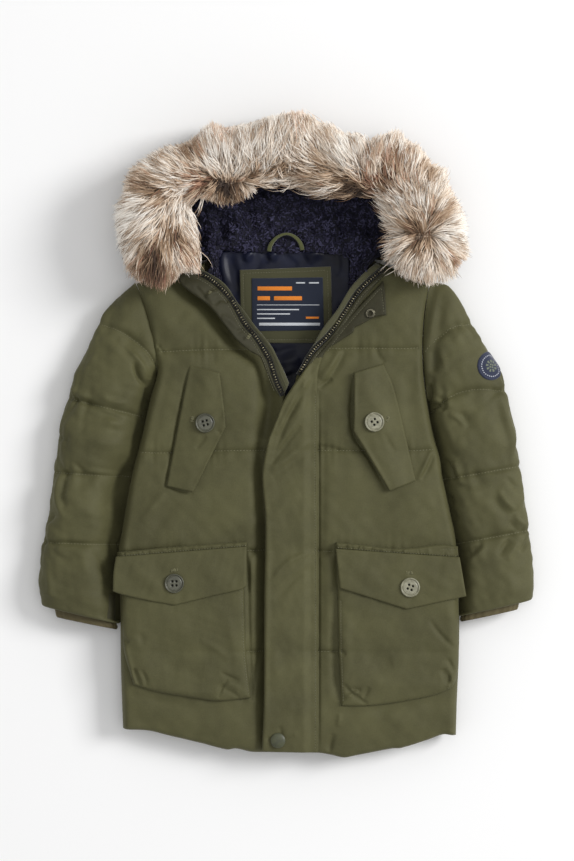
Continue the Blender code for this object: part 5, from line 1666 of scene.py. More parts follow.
# %% Badge on the sleeve
BADGE_EDGE = (476.5, 366)   # where its upper edge lies, on the row of its middle
BADGE_RADIUS = 16.3
ARM_AXIS = (463, 18.0)      # column of the arm's middle there, and its height in mm
badge_navy = yarn("embroidery_navy", "20253a", "31384f", pitch_mm=0.8, depth=0.4)
badge_white = yarn("embroidery_white", "9da0ab", "c6c8d0", pitch_mm=0.7)
badge_grey = yarn("embroidery_grey_olive", "5f6658", "7f8674", pitch_mm=0.7)
BADGE_MARKS = (
    # look, radius, number, share of the round that they fill, half their depth
    (badge_white, 12.0, 30, 0.5, 0.6), (badge_grey, 5.4, 9, 0.55, 1.6),
    (badge_grey, 1.9, 4, 0.7, 1.0),
)


def badge():
    """A round embroidered patch wrapped over the arm's side, with a thick overlocked edge, and
    a ring of plain dashes where such a patch carries its lettering."""
    arm = sleeve_trees["left"]
    edge, size = at(BADGE_EDGE), BADGE_RADIUS
    facing = np.radians(np.arange(-30, 126))
    out = np.column_stack((np.sin(facing), 0 * facing, np.cos(facing)))
    lines, arcs = [], []
    for far in np.arange(-18, 19):
        middle = np.array((at((ARM_AXIS[0], 0))[0], edge[1] + far, ARM_AXIS[1]))
        line = np.array([arm.ray_cast(Vector(middle + d * 90), Vector(-d))[0] for d in out])
        arc = run_along(line)
        begin = arc[np.abs(line[:90, 0] - edge[0]).argmin()]
        lines.append(np.column_stack((line, out)))
        arcs.append(arc - begin - size)

    def on_arm(radius, turn, lift):
        along = radius * math.sin(turn) + 18
        k, across = int(along), radius * math.cos(turn)
        found = [np.array([np.interp(across, arcs[i], column) for column in lines[i].T])
                 for i in (k, k + 1)]
        both = found[0] + (found[1] - found[0]) * (along - k)
        return both[:3] + both[3:] * lift

    radii = [0.4, 2, 4, 6, 8, 10, 12, 13, *(size - back for back in (2.3, 1.9, 1.5, 1, 0.5, 0.1)),
             size, size - 0.1]
    lifts = [1.2] * 8 + [1.2, 1.5, 1.85, 1.95, 1.8, 1.3, 0.8, 0.0]
    count = 96
    turns = even_turns(count)
    points = [on_arm(radius, turn, lift - 0.25 * (lift > 1.2 and i % 2))
              for radius, lift in zip(radii, lifts) for i, turn in enumerate(turns)]
    faces = ring_faces(len(radii), count)
    faces.append(tuple(range(count)))
    new_piece("badge", [tuple(p) for p in points], faces, badge_navy, "badge", ["badge"])
    dashes, looks = [], []
    for look, radius, number, share, thick in BADGE_MARKS:
        for k in range(number):
            begin = 2 * math.pi * k / number
            stop = begin + 2 * math.pi / number * share
            corners = []
            for r in (radius - thick, radius + thick):
                for turn in (begin, (begin + stop) / 2, stop):
                    corners.append(tuple(on_arm(r, turn, 1.42)))
            dashes.append((corners, [(0, 1, 4, 3), (1, 2, 5, 4)]))
            looks += [0 if look is badge_white else 1] * 2
    points, faces = join(dashes)
    new_piece("badge_stitches", points, faces, [badge_white, badge_grey], "badge",
              look_of_face=looks)


badge()

# %% [markdown]
# ## Stitches
# Every row of topstitching is a chain of short raised threads. Each stitch is a stretched
# octahedron, pointed where the thread dives into the cloth, and all of them share one mesh.

# %% Rows of stitches
def stitch_mesh(rows, pitch=STITCH_PITCH, length=STITCH_LENGTH, radius=0.42, rise=0.12):
    parts = []
    for row in rows:
        lengths = run_along(row)
        for run in np.arange(0.5, lengths[-1] - length, pitch):
            first, last = [
                np.array([np.interp(run + far, lengths, row[:, k]) for k in range(3)])
                for far in (0, length)
            ]
            ahead = (last - first) / np.linalg.norm(last - first)
            aside = np.cross(ahead, (0, 0, 1.0))
            aside /= np.linalg.norm(aside) + 1e-9
            up = np.cross(aside, ahead)
            middle = (first + last) / 2 + up * rise
            parts.append((
                [first, last, middle + aside * radius, middle + up * radius,
                 middle - aside * radius, middle - up * radius],
                [(0, 2, 3), (0, 3, 4), (0, 4, 5), (0, 5, 2), (1, 3, 2), (1, 4, 3), (1, 5, 4),
                 (1, 2, 5)],
            ))
    return join(parts)


points, faces = stitch_mesh(stitch_rows)
new_piece("topstitching", points, faces, thread_olive, "shell_cloth")
quilt_rows = []
for number, path in enumerate(quilt_paths):
    distance, inside, _ = follow(path, front_rings["left" if number % 2 else "right"])
    path = path[(distance > 3) & (inside > 0)]
    quilt_rows.append(np.column_stack((path, front_surface(path) + 0.1)))
for side in ("right", "left"):
    for ring in sleeve_seams[side]:
        whole = len(ring) == SLEEVE_COLUMNS
        quilt_rows.append((np.vstack((ring, ring[:1])) if whole else ring) + (0, 0, 0.1))
points, faces = stitch_mesh(quilt_rows, pitch=3.6, length=2.3, radius=0.38)
new_piece("quilting_stitches", points, faces, thread_pale, "shell_cloth")

# %% [markdown]
# ## Hood
# The hood lies open like a bowl: three panels of shell cloth form its floor and its wall, a
# fleece lining sits inside, and the fur is sewn round the rim. One table gives, for nineteen
# places round the rim, the fur's outer and inner edges and the edge of the lining.

# %% Hood stations
HOOD = np.array((
    # fur outer column, row; fur inner column, row; lining edge column, row; foot of the fur
    (139, 290, 206, 278, 217, 281, 46.5), (124, 262, 203, 256, 215.5, 268, 46.5),
    (119, 232, 200, 238, 216.5, 253, 10), (118, 205, 195, 218, 220, 245, 8),
    (128, 174, 193, 203, 231, 247, 8), (150, 155, 200, 199, 242, 248, 8),
    (180, 140, 215, 203, 253, 248, 8), (205, 128, 233, 203, 264, 248, 8),
    (240, 120, 254, 193, 276, 248, 8), (285, 112, 288, 184, 289, 248, 8),
    (325, 121, 318, 189, 301, 248, 8), (360, 130, 342, 196, 312, 248, 8),
    (400, 132, 362, 199, 323, 248, 8), (425, 148, 376, 204, 334, 248, 8),
    (445, 168, 384, 215, 342, 249, 8), (459, 195, 388, 228, 350, 251, 8),
    (467, 225, 389, 243, 353, 257, 10), (464, 255, 386, 258, 353.5, 272, 46.5),
    (450, 286, 378, 276, 354, 288, 46.5),
), float)
SHELL_ROWS = (1, 7, 11, 17)
SHELL_ENDS = {1: ((197, 262), (160, 272)), 17: ((385, 262), (424, 270))}
COLLAR_RIMS = {0: (204, 270), 1: (202, 258), 17: (378, 262), 18: (373, 274)}
NECK_SEAM = ((207, 258.5), (375, 258.5))
WALL_SHARE = 0.40           # the hood's wall stands this far from the fur's outer edge
FLEECE_BASE = 12.0
RIM = 49.7


def wall_place(row):
    return HOOD[row, 0:2] + (HOOD[row, 2:4] - HOOD[row, 0:2]) * WALL_SHARE


def upright(start, end, profile, count):
    """Sections in upright planes. A profile row is the share of the way from start to end,
    millimetres added to it, and the height; count points are spread along its smooth line."""
    run = end - start
    reach = np.hypot(run[:, 0], run[:, 1])[:, None]
    grid = []
    for i in range(len(start)):
        rows = np.array([(share * reach[i, 0] + extra, height)
                         for share, extra, height in profile(i)])
        line = smooth(rows, 1.5)
        lengths = run_along(line)
        even = np.linspace(0, lengths[-1], count)
        far = np.interp(even, lengths, line[:, 0])
        high = np.interp(even, lengths, line[:, 1])
        flat = start[i] + (run / reach)[i] * far[:, None]
        grid.append(np.column_stack((flat, high)))
    return np.array(grid)


def sheet_normals(grid):
    """Normals of an open grid."""
    normal = np.cross(np.gradient(grid, axis=1), np.gradient(grid, axis=0))
    return normal / (np.linalg.norm(normal, axis=2)[..., None] + 1e-9)


def shell_panel(name, first, last, seed):
    """One panel of the hood's shell: a closed section of floor and wall, swept round."""
    stations = []
    for row in range(first, last + 1):
        share = (row - SHELL_ROWS[0]) / (SHELL_ROWS[-1] - SHELL_ROWS[0])
        start = np.array(NECK_SEAM[0]) + (np.array(NECK_SEAM[1]) - NECK_SEAM[0]) * share
        stations.append((*start, *wall_place(row), 0.4))
    for row, position in ((first, 0), (last, len(stations))):
        if row in SHELL_ENDS:
            (start, wall) = SHELL_ENDS[row]
            stations.insert(position, (*start, *wall, 33.0))
    samples = np.linspace(0, len(stations) - 1, 9 * len(stations))
    rows = through(stations, samples)
    foot = rows[:, 4]

    def profile(i):
        floor = FLEECE_BASE - 0.5
        base = max(foot[i], 0.4)
        return ((0, 0, base), (1, -9, base), (1, -2.5, base + 4), (1, 0, base + 14),
                (1, 0, RIM - 1.5), (1, -1.5, RIM), (1, -6.5, RIM), (1, -8, RIM - 1.5),
                (1, -8, max(20, base + 14)), (1, -16, max(floor - 0.8, base + 9)),
                (0, 0, max(floor - 1.7, base + 8)))

    grid = upright(at(rows[:, 0:2]), at(rows[:, 2:4]), profile, 110)
    flat = grid[..., :2].reshape(-1, 2) + grid[..., 2].reshape(-1, 1) * (0.7, 1.0)
    seam = np.minimum(samples, samples[-1] - samples)[:, None]
    outside = np.clip((grid[..., 2] - 6) / 10, 0, 1)
    outside[:, 62:] = 0
    waves = 1.1 * ripples(flat, 26, seed).reshape(seam.shape[0], -1)
    pinch = 1.3 * np.exp(-seam / 0.12)
    normal = sheet_normals(grid)
    centre = grid.mean(1, keepdims=True)
    if ((grid - centre) * normal).sum() < 0:
        normal = -normal
    grid = grid - normal * ((np.abs(waves) + pinch) * outside)[..., None]
    count = grid.shape[1]
    faces = ring_faces(len(samples), count)
    faces.append(tuple(range(count))[::-1])
    faces.append(tuple((len(samples) - 1) * count + k for k in range(count)))
    return new_piece(name, grid.reshape(-1, 3), faces, shell_cloth, "shell_cloth", [name])


for number, name in enumerate(("hood_side_right", "hood_centre", "hood_side_left")):
    shell_panel(name, SHELL_ROWS[number], SHELL_ROWS[number + 1], 700 + number)

# %% [markdown]
# ## Ribbons for pile
# Fleece curls and fur hairs are made alike: a path of points for each strand, widened to a flat
# ribbon that tapers to its tip. A map on the ribbon carries the strand's tone across and the
# place along it from root to tip, so one material can shade thousands of strands.

# %% Ribbons
def ribbons(name, paths, half_width, facing, tone, look, slot):
    """A mesh of flat strands. paths (strands, steps, 3), half_width (steps,) in mm, facing
    (strands, 3) the way the flat side looks, tone (strands,) from 0 to 1."""
    count, steps = paths.shape[:2]
    ahead = np.gradient(paths, axis=1)
    aside = np.cross(ahead, facing[:, None, :])
    aside /= np.linalg.norm(aside, axis=2)[..., None] + 1e-9
    spread = aside * np.asarray(half_width)[..., None]
    points = np.stack((paths - spread, paths + spread), 2).reshape(-1, 3)
    first = (np.arange(count) * steps)[:, None] + np.arange(steps - 1)[None, :]
    first = first.ravel() * 2
    faces = np.column_stack((first, first + 1, first + 3, first + 2))
    piece = new_piece(name, points, faces.tolist(), look, slot)
    along = np.tile(np.arange(steps - 1), count) / (steps - 1)
    tones = np.repeat(np.clip(tone, 0.01, 0.99), steps - 1)
    near, far = along, along + 1 / (steps - 1)
    left, right = tones - 0.004, tones + 0.004
    places = np.stack((left, near, right, near, right, far, left, far), 1)
    layer = piece.data.uv_layers.new(name="OFBake")
    layer.uv.foreach_set("vector", places.ravel().astype(np.float32))
    return piece


def pile(name, tones, along, roughness=0.6, sheen=0.2, specular=0.35):
    """A material for ribbons: tones are (place, colour) rows across the map, along are (place,
    grey) rows from root to tip that darken or lighten them."""
    made, tree, shader = start(name)
    place = add(tree, "UVMap", uv_map="OFBake")
    parts = add(tree, "SeparateXYZ", {0: place.outputs[0]})
    strand = add(tree, "ValToRGB", {"Fac": parts.outputs["X"]}, tones).outputs["Color"]
    shade = add(tree, "ValToRGB", {"Fac": parts.outputs["Y"]}, along).outputs["Color"]
    mixed = add(tree, "Mix", {0: 1.0, 6: strand, 7: shade}, data_type="RGBA",
                blend_type="MULTIPLY")
    give(tree, shader, Base_Color=mixed.outputs[2], Roughness=roughness, IOR=1.5,
         Specular_IOR_Level=specular, Sheen_Weight=sheen)
    return made


# %% [markdown]
# ## Fleece lining
# Teddy fleece is knitted with a long curly pile. From a metre away one sees soft lumps with
# darker hollows between them and fine curls on top. The lumps are pushed out of the sheet
# round seeds that are spread unevenly, and the curls are short looped ribbons.

# %% Fleece sheet
fleece_ground = yarn("teddy_fleece_ground_navy", "0f0f19", "1b1b29", pitch_mm=2.2, depth=0.5,
                     roughness=0.95, sheen=0.05)
# curl tones follow the height of the lumps, and the rows along darken toward the root: painted
# shade in the hollows and deep in the pile, painted light on the lump tops
fleece_curls = pile("teddy_fleece_curls_navy",
                    ((0.0, "0c0c15"), (0.4, "262535"), (1.0, "4b4a63")),
                    ((0.0, "9c9c9c"), (0.6, "ffffff"), (1.0, "ffffff")), roughness=0.95,
                    sheen=0.05, specular=0.08)
FLEECE_FOLDS = (
    # hollows and rolls of the lining where it bends into the neck
    (251, 206, 252, 216, 256, 228, 5, -4.5), (290, 212, 306, 222, 334, 230, 7, -6),
    (312, 200, 322, 212, 332, 220, 6, -3.5), (219, 214, 222, 230, 223, 244, 4, -5),
    (206, 204, 211, 222, 212, 250, 212, 272, 6, 3), (228, 206, 236, 216, 240, 232, 6, 2.6),
    (262, 200, 280, 204, 300, 200, 10, 3), (344, 214, 352, 240, 356, 270, 8, 2.6),
    (340, 206, 341, 226, 341, 246, 4, -4), (370, 214, 372, 236, 372, 256, 6, -3),
)


def lumps(points, size, seed):
    """Rounded lumps about size mm across, from 0 in the hollows to 1 on top."""
    total = np.zeros(len(points))
    for number, (share, scale) in enumerate(((0.65, 1.0), (0.35, 0.55))):
        shift = Vector((seed * 3.1 + number * 17, seed * 1.7, 0))
        pace = 1 / (size * scale)
        total += share * np.array([
            1 - min(noise.voronoi(Vector(p) * pace + shift)[0][0] * 1.1, 1.0) for p in points
        ])
    return total


def fleece():
    row_samples = np.linspace(0, 18, 300)
    rows = through(HOOD, row_samples)
    edge, outer, inner = at(rows[:, 4:6]), at(rows[:, 0:2]), at(rows[:, 2:4])
    wall = outer + (inner - outer) * WALL_SHARE
    rims = through([COLLAR_RIMS.get(i, tuple(wall_place(i))) for i in range(19)], row_samples)
    rim = at(rims)
    collar = np.clip(np.maximum(1.9 - row_samples, row_samples - 16.1) / 0.8, 0, 1)[:, None]
    end = wall + (rim - wall) * (collar > 0)
    inwards = (edge - end) / np.hypot(*(edge - end).T)[:, None]
    edge = edge + inwards * (4.0 - 3.6 * np.clip(3.4 - row_samples, 0, 1)[:, None]
                             - 3.6 * np.clip(row_samples - 14.6, 0, 1)[:, None])

    def profile(i):
        mix = float(collar[i, 0])
        bowl = np.array(((0, 0.6, 13.8), (0, 0.0, 14.6), (0, 1.2, 15.6), (0, 14, 15.8),
                         (0.62, -10, 15.8), (1, -20, 19), (1, -13.4, 32), (1, -12.8, 46)))
        stand = np.array(((0, 0.6, 14.2), (0, 0.0, 14.8), (0, 1.2, 15.8), (0.25, 0, 18.0),
                          (0.5, -3, 24), (0.8, -4, 31), (1, -4, 36), (1, -3, 38)))
        return bowl + (stand - bowl) * mix

    grid = upright(edge, end, profile, 90)
    normal = sheet_normals(grid)
    if normal[..., 2].sum() < 0:
        normal = -normal
    points = grid.reshape(-1, 3)
    soft = lumps(points, 9.5, 3).reshape(grid.shape[:2])
    fine = lumps(points, 4.2, 9).reshape(grid.shape[:2])
    place = np.linspace(0, 1, 90)[None, :]
    waves = ripples(points[:, :2], 40, 77).reshape(grid.shape[:2])
    roll = 5.0 * bell(place - 0.15, 0.10) - 3.0 * bell(place - 0.36, 0.06)
    roll = roll + 2.6 * bell(place - 0.5, 0.08)
    out = 6.2 * soft + 2.0 * fine + roll * (0.8 + 0.5 * waves) + 1.0 * waves
    out = out + strokes(points[:, :2], FLEECE_FOLDS, 1.5).reshape(grid.shape[:2])
    by_loop = bell(follow(points[:, :2], loop_line)[0], 7.0).reshape(grid.shape[:2])
    fade = np.clip(place / 0.03, 0.1, 1) * (1 - 0.85 * by_loop)
    grid = grid + normal * (out * fade)[..., None]
    grid[..., 2] = np.maximum(grid[..., 2], FLEECE_BASE + 1.3)
    edge_wave = ripples(points[:, :2], 16, 78).reshape(grid.shape[:2])
    grid[..., 1] += 1.6 * edge_wave * np.clip(1 - place / 0.12, 0, 1)
    new_piece("hood_lining", grid.reshape(-1, 3), ring_faces(300, 90, closed=False),
              fleece_ground, "teddy_fleece", ["hood_lining"])
    return grid, normal, soft


fleece_grid, fleece_normal, fleece_lumps = fleece()


# %% Fleece curls
def on_grid(values, rows, columns):
    """Reads values of a grid at fractional rows and columns."""
    i, j = rows.astype(int), columns.astype(int)
    a, b = (rows - i)[:, None], (columns - j)[:, None]
    return (values[i, j] * (1 - a) * (1 - b) + values[i + 1, j] * a * (1 - b)
            + values[i, j + 1] * (1 - a) * b + values[i + 1, j + 1] * a * b)


def scatter(grid, count, draw):
    """Even random places on a grid, as fractional rows and columns."""
    down, right = np.diff(grid, axis=0)[:, :-1], np.diff(grid, axis=1)[:-1]
    area = np.linalg.norm(np.cross(down, right), axis=2)
    chosen = draw.choice(area.size, count, p=(area / area.sum()).ravel())
    i, j = np.unravel_index(chosen, area.shape)
    return i + draw.random(count), j + draw.random(count)


FLEECE_CURLS = 9000
draw = np.random.default_rng(41)
rows, columns = scatter(fleece_grid, FLEECE_CURLS, draw)
root = on_grid(fleece_grid, rows, columns)
clear = follow(root[:, :2], loop_line)[0] > 3.6
rows, columns, root = rows[clear], columns[clear], root[clear]
FLEECE_CURLS = len(root)
out = on_grid(fleece_normal, rows, columns)
tall = on_grid(fleece_lumps[..., None], rows, columns)[:, 0]
turn = draw.uniform(0, 2 * math.pi, FLEECE_CURLS)
lying = np.column_stack((np.cos(turn), np.sin(turn), np.zeros(FLEECE_CURLS)))
lying -= (lying * out).sum(1)[:, None] * out
lying /= np.linalg.norm(lying, axis=1)[:, None] + 1e-9
aside = np.cross(out, lying)
radius = draw.uniform(1.2, 2.4, FLEECE_CURLS)
angles = np.linspace(0, 1, 6)[None, :] * draw.uniform(2.6, 4.6, FLEECE_CURLS)[:, None]
path = (root[:, None] - out[:, None] * 0.5
        + (radius[:, None] * np.sin(angles))[..., None] * lying[:, None]
        + (radius[:, None] * (1 - np.cos(angles)) * 0.4)[..., None] * out[:, None]
        + (0.35 * radius[:, None] * angles)[..., None] * aside[:, None])
facing = out + 0.25 * aside + draw.normal(0, 0.22, (FLEECE_CURLS, 3))
# curls on the lump tops are lighter, those in the hollows darker: painted light and painted shade
tone = np.clip(0.05 + 1.05 * tall + draw.normal(0, 0.09, FLEECE_CURLS), 0, 1)
ribbons("hood_lining_curls", path, (0.7, 0.95, 0.95, 0.85, 0.65, 0.3), facing, tone,
        fleece_curls, "teddy_fleece")

# %% [markdown]
# ## Fur trim
# Faux fur is a knitted strip with a dense undercoat and long guard hairs. The strip is sewn round
# the hood's rim and bulges into a roll. Hairs grow in tufts that lean the way the pile was
# combed, and a tuft's hairs meet towards its tip. That is what makes fur look like fur, so each
# hair here belongs to the nearest tuft and bends towards it.

# %% Undercoat
EYE = np.array((-2.26, 7.3, 4025.0))    # mm; outlines of tall parts are drawn as seen from here
GRID_LEVEL = 25.0
FUR_BED = (
    # share of the way from the fur's outer to its inner edge, height
    (0.20, 20), (0.17, 42), (0.20, 60), (0.32, 74), (0.50, 79), (0.68, 75), (0.82, 62),
    (0.87, 50),
)
FUR_ENDS = (0.5, 17.5)      # the strip ends this far along the stations


def fur_bed():
    samples = np.linspace(*FUR_ENDS, 190)
    rows = through(HOOD, samples)
    outer, inner, foot = at(rows[:, 0:2]), at(rows[:, 2:4]), rows[:, 6]
    arc = run_along((outer + inner) / 2)
    close = rounded(np.minimum(arc, arc[-1] - arc), 26.0)

    def profile(i):
        size = 0.35 + 0.65 * close[i]
        return [(0.52 + (share - 0.52) * size, 0,
                 max(52 + (height - 52) * (0.3 + 0.7 * close[i]), foot[i] + 4))
                for share, height in FUR_BED]

    grid = upright(outer, inner, profile, 32)
    normal = sheet_normals(grid)
    if normal[..., 2].sum() < 0:
        normal = -normal
    return grid, normal


fur_grid, fur_normal = fur_bed()
fur_ground = yarn("faux_fur_knitted_ground", "8a7563", "c4ae98", pitch_mm=3.0, depth=0.6,
                  roughness=0.95, sheen=0.2)
new_piece("fur_trim", fur_grid.reshape(-1, 3), ring_faces(*fur_grid.shape[:2], closed=False),
          fur_ground, "faux_fur", ["fur_trim"])

# %% The way the pile is combed
FUR_FLOW = (
    # column, row, right, down, length of the hairs in mm
    (188, 176, -0.8, -0.5, 34), (165, 160, -0.6, -0.8, 34), (150, 172, -1, -0.3, 36),
    (135, 200, -1, 0.1, 36), (125, 222, -0.9, 0.45, 34), (130, 245, -0.6, 0.8, 36),
    (132, 272, -0.35, 1, 34), (150, 262, -0.1, 1, 38), (170, 252, 0.05, 1, 38),
    (190, 250, 0.25, 1, 34), (186, 222, 0.0, 1, 36), (160, 215, -0.5, 0.8, 40),
    (175, 198, -0.5, 0.5, 36), (197, 262, 0.35, 0.9, 26), (206, 150, -0.15, -1, 42),
    (200, 182, -0.5, -0.9, 36), (230, 150, 0.05, -1, 38), (258, 150, 0.1, -1, 36),
    (285, 135, 0.0, -1, 38), (285, 165, 0.1, -1, 42), (318, 150, -0.4, -0.9, 38),
    (345, 160, -0.45, -0.9, 40), (362, 195, -1, -0.15, 44), (332, 189, -1, -0.1, 46),
    (304, 181, -1, -0.05, 40), (228, 178, -0.3, -1, 32), (252, 172, -0.1, -1, 38),
    (212, 194, 0.3, 0.9, 22), (228, 197, 0.1, 1, 20), (243, 194, 0.3, 1, 20),
    (200, 191, -0.1, 1, 22), (256, 187, 0.5, 0.7, 20),
    (379, 198, 0.15, -1, 42), (378, 165, 0.15, -1, 44), (398, 150, 0.15, -1, 42),
    (420, 165, 0.35, -1, 38), (443, 185, 0.6, -0.9, 38), (457, 205, 1, -0.45, 34),
    (462, 232, 1, 0.1, 32), (460, 256, 0.85, 0.6, 32), (448, 272, 0.45, 1, 32),
    (428, 268, 0.05, 1, 34), (405, 262, -0.35, 1, 30), (390, 246, -0.8, 0.6, 26),
    (384, 222, -1, -0.25, 26), (396, 206, -0.5, -0.9, 34), (417, 205, 0.0, -1, 38),
)
FUR_TONES = (
    # column, row, radius in squares, lighter or darker, more reddish
    (146, 187, 9, -0.52, 0.3), (160, 201, 7, -0.34, 0.2), (162, 228, 5, -0.42, 0.0),
    (175, 237, 9, -0.52, 0.1), (151, 247, 9, -0.40, 0.2), (150, 264, 14, -0.48, 0.5),
    (162, 272, 10, -0.30, 0.6), (189, 255, 8, -0.26, 0.8), (191, 177, 12, -0.24, 0.9),
    (199, 190, 7, -0.30, 0.8), (188, 153, 6, -0.44, 0.2), (200, 152, 5, -0.50, 0.3),
    (214, 184, 9, -0.55, 0.1), (228, 190, 10, -0.60, 0.0), (237, 182, 7, -0.50, 0.1),
    (254, 174, 9, -0.34, 0.1), (283, 168, 8, -0.38, 0.0), (320, 166, 10, -0.30, 0.0),
    (342, 188, 12, -0.60, 0.0), (356, 194, 9, -0.45, 0.1), (370, 184, 12, -0.30, 0.9),
    (392, 168, 14, -0.26, 0.9), (420, 238, 16, -0.42, 0.1), (426, 173, 7, -0.36, 0.1),
    (436, 210, 14, -0.16, 0.1), (410, 222, 7, -0.34, 0.1), (452, 258, 8, -0.24, 0.2),
    (222, 134, 7, -0.14, 0.8), (297, 124, 9, -0.10, 0.6), (306, 178, 10, -0.30, 0.1),
    (232, 154, 16, 0.26, 0.0), (185, 187, 4, 0.34, 0.0), (144, 214, 12, 0.22, 0.0),
    (123, 238, 10, 0.30, 0.0), (122, 212, 9, 0.26, 0.0), (345, 155, 14, 0.24, 0.0),
    (424, 198, 9, 0.22, 0.0), (455, 232, 12, 0.20, 0.0), (270, 140, 18, 0.16, 0.0),
    (398, 272, 10, 0.12, 0.2), (176, 214, 8, 0.16, 0.0), (208, 146, 8, 0.14, 0.2),
)
FUR_OUTLINE = (
    (132, 278), (122, 252), (117, 228), (116, 208), (124, 197), (125, 184), (131, 171),
    (146, 160), (160, 151), (188, 145), (198, 137), (207, 128), (212, 124), (226, 131),
    (240, 128), (255, 125), (268, 119), (285, 115), (300, 113), (319, 125), (328, 126),
    (338, 137), (358, 136), (366, 145), (384, 137), (398, 131), (405, 143), (417, 146),
    (423, 156), (430, 167), (444, 169), (447, 187), (457, 202), (465, 221), (466, 240),
    (469, 257), (460, 265), (456, 279), (444, 284), (428, 285), (412, 281), (402, 275),
    (395, 267), (386, 259), (377, 265), (376, 252), (377, 240), (379, 221), (372, 205),
    (360, 201), (344, 202), (332, 201), (309, 194), (289, 185), (269, 186), (258, 190),
    (249, 198), (232, 204), (218, 204), (209, 199), (192, 197), (194, 214), (203, 228),
    (201, 240),
    (198, 250), (199, 266), (202, 273), (190, 273), (181, 271), (171, 284), (161, 291),
    (147, 286),
)
fur_outline = closed_path(counter_clockwise(smooth(at(FUR_OUTLINE), 3.0, closed=True)))


def seen(points):
    """Places dropped or raised along the line of sight to the level of the grid."""
    scale = (EYE[2] - GRID_LEVEL) / (EYE[2] - points[..., 2:3])
    return EYE[:2] + (points[..., :2] - EYE[:2]) * scale


def outside(places):
    """How far places lie outside the fur's outline, in mm; negative inside it."""
    distance, side, _ = follow(places, fur_outline)
    return np.where(side > 0, -distance, distance)


def combed(places):
    """Direction (x, y) and length of the hairs at places, from the nearest rows of the table."""
    table = np.array(FUR_FLOW, float)
    centres = at(table[:, :2])
    away = ((places[:, None, :] - centres[None]) ** 2).sum(2)
    weight = np.exp(-away / (2 * 15.0 ** 2)) + 1e-12 / (away + 1)
    weight /= weight.sum(1)[:, None]
    direction = weight @ np.column_stack((table[:, 2], -table[:, 3]))
    direction /= np.linalg.norm(direction, axis=1)[:, None] + 1e-9
    return direction, weight @ table[:, 4]


def toned(places):
    """Light or dark shift and redness at places."""
    shift, red = np.zeros(len(places)), np.zeros(len(places))
    for column, row, radius, lighter, redder in FUR_TONES:
        near = bell(np.hypot(*(places - at((column, row))).T), radius * GRID * 1.15)
        shift += lighter * near
        red += redder * near
    return shift, np.clip(red, 0, 1)


# %% Grow the hairs
TUFTS = 1300


def grow(count, seed, longer=1.0, lift=1.0, gather=0.75, points=7, wild=0.12):
    """Paths of count hairs, the way they face, their tone and their redness."""
    draw = np.random.default_rng(seed)
    tuft_rows, tuft_columns = scatter(fur_grid, TUFTS, draw)
    centre = on_grid(fur_grid, tuft_rows, tuft_columns)
    rows, columns = scatter(fur_grid, count, draw)
    root = on_grid(fur_grid, rows, columns)
    normal = on_grid(fur_normal, rows, columns)
    tree = KDTree(TUFTS)
    for i, p in enumerate(centre):
        tree.insert(p, i)
    tree.balance()
    tuft = np.array([tree.find(p)[1] for p in root])
    direction, length = combed(seen(centre))
    turn = draw.normal(0, 0.20, TUFTS)
    turned = np.column_stack((
        direction[:, 0] * np.cos(turn) - direction[:, 1] * np.sin(turn),
        direction[:, 0] * np.sin(turn) + direction[:, 1] * np.cos(turn), np.zeros(TUFTS)))
    tuft_length = length * draw.uniform(0.72, 1.18, TUFTS) * longer
    tuft_lift = draw.uniform(0.5, 1.1, TUFTS) * lift
    tuft_tone, tuft_phase = draw.normal(0, 0.12, TUFTS), draw.uniform(0, 2 * math.pi, TUFTS)
    flow = turned[tuft] + draw.normal(0, wild, (count, 3)) * (1, 1, 0.5)
    long = tuft_length[tuft] * draw.uniform(0.7, 1.1, count)
    rise = (tuft_lift[tuft] + draw.normal(0, 0.12, count)).clip(0.15, 1.4)
    steps = np.linspace(0, 1, points)
    heading = []
    for t in (steps[:-1] + steps[1:]) / 2:
        step = (normal * (rise * (1 - t) ** 1.3)[:, None] + flow * (0.25 + 1.0 * t)
                + np.array((0, 0, -0.75)) * t ** 1.5)
        heading.append(step / np.linalg.norm(step, axis=1)[:, None])
    gone = np.concatenate((np.zeros((count, 1, 3)), np.cumsum(np.stack(heading, 1), 1)), 1)
    gone /= points - 1
    pull = (centre[tuft] - root)[:, None, :] * (gather * steps ** 1.2)[None, :, None]
    aside = np.cross(flow, (0, 0, 1.0))
    sway = (np.sin(steps[None, :] * draw.uniform(3.0, 6.5, count)[:, None]
                   + tuft_phase[tuft][:, None]) - np.sin(tuft_phase[tuft])[:, None])
    curl = aside[:, None, :] * (1.5 * sway * steps)[..., None]

    def paths(long):
        return root[:, None] + gone * long[:, None, None] + pull + curl

    over = draw.exponential(1.3, count).clip(0, 7)
    for _ in range(4):
        tips = outside(seen(paths(long)[:, -1]))
        too_long = tips > over
        long = np.where(too_long, np.maximum(long - (tips - over) * 1.15, 9.0), long)
    path = paths(long)
    kept = outside(seen(path[:, -1])) < over + 3
    shift, red = toned(seen(path[:, points // 2]))
    tone = 0.81 + shift * 1.25 + tuft_tone[tuft] + draw.normal(0, 0.07, count)
    facing = normal * 0.6 + (0, 0, 0.8) + draw.normal(0, 0.35, (count, 3))
    return path[kept], facing[kept], tone[kept], red[kept]


FUR_TONE_STOPS = ((0.0, "38291f"), (0.25, "84694f"), (0.45, "c4a98d"), (0.65, "ecdac5"),
                  (1.0, "fffaf2"))
FUR_RED_STOPS = ((0.0, "3a281f"), (0.25, "86604c"), (0.55, "c49a80"), (0.8, "e2c2aa"),
                 (1.0, "f4e0cf"))
# the hairs are darker toward the root: painted shade deep in the pile
ROOT_TO_TIP = ((0.0, "b4a698"), (0.35, "e4dcd4"), (0.7, "ffffff"), (1.0, "ffffff"))
fur_cream = pile("acrylic_pile_cream", FUR_TONE_STOPS, ROOT_TO_TIP)
fur_tan = pile("acrylic_pile_tan", FUR_RED_STOPS, ROOT_TO_TIP)
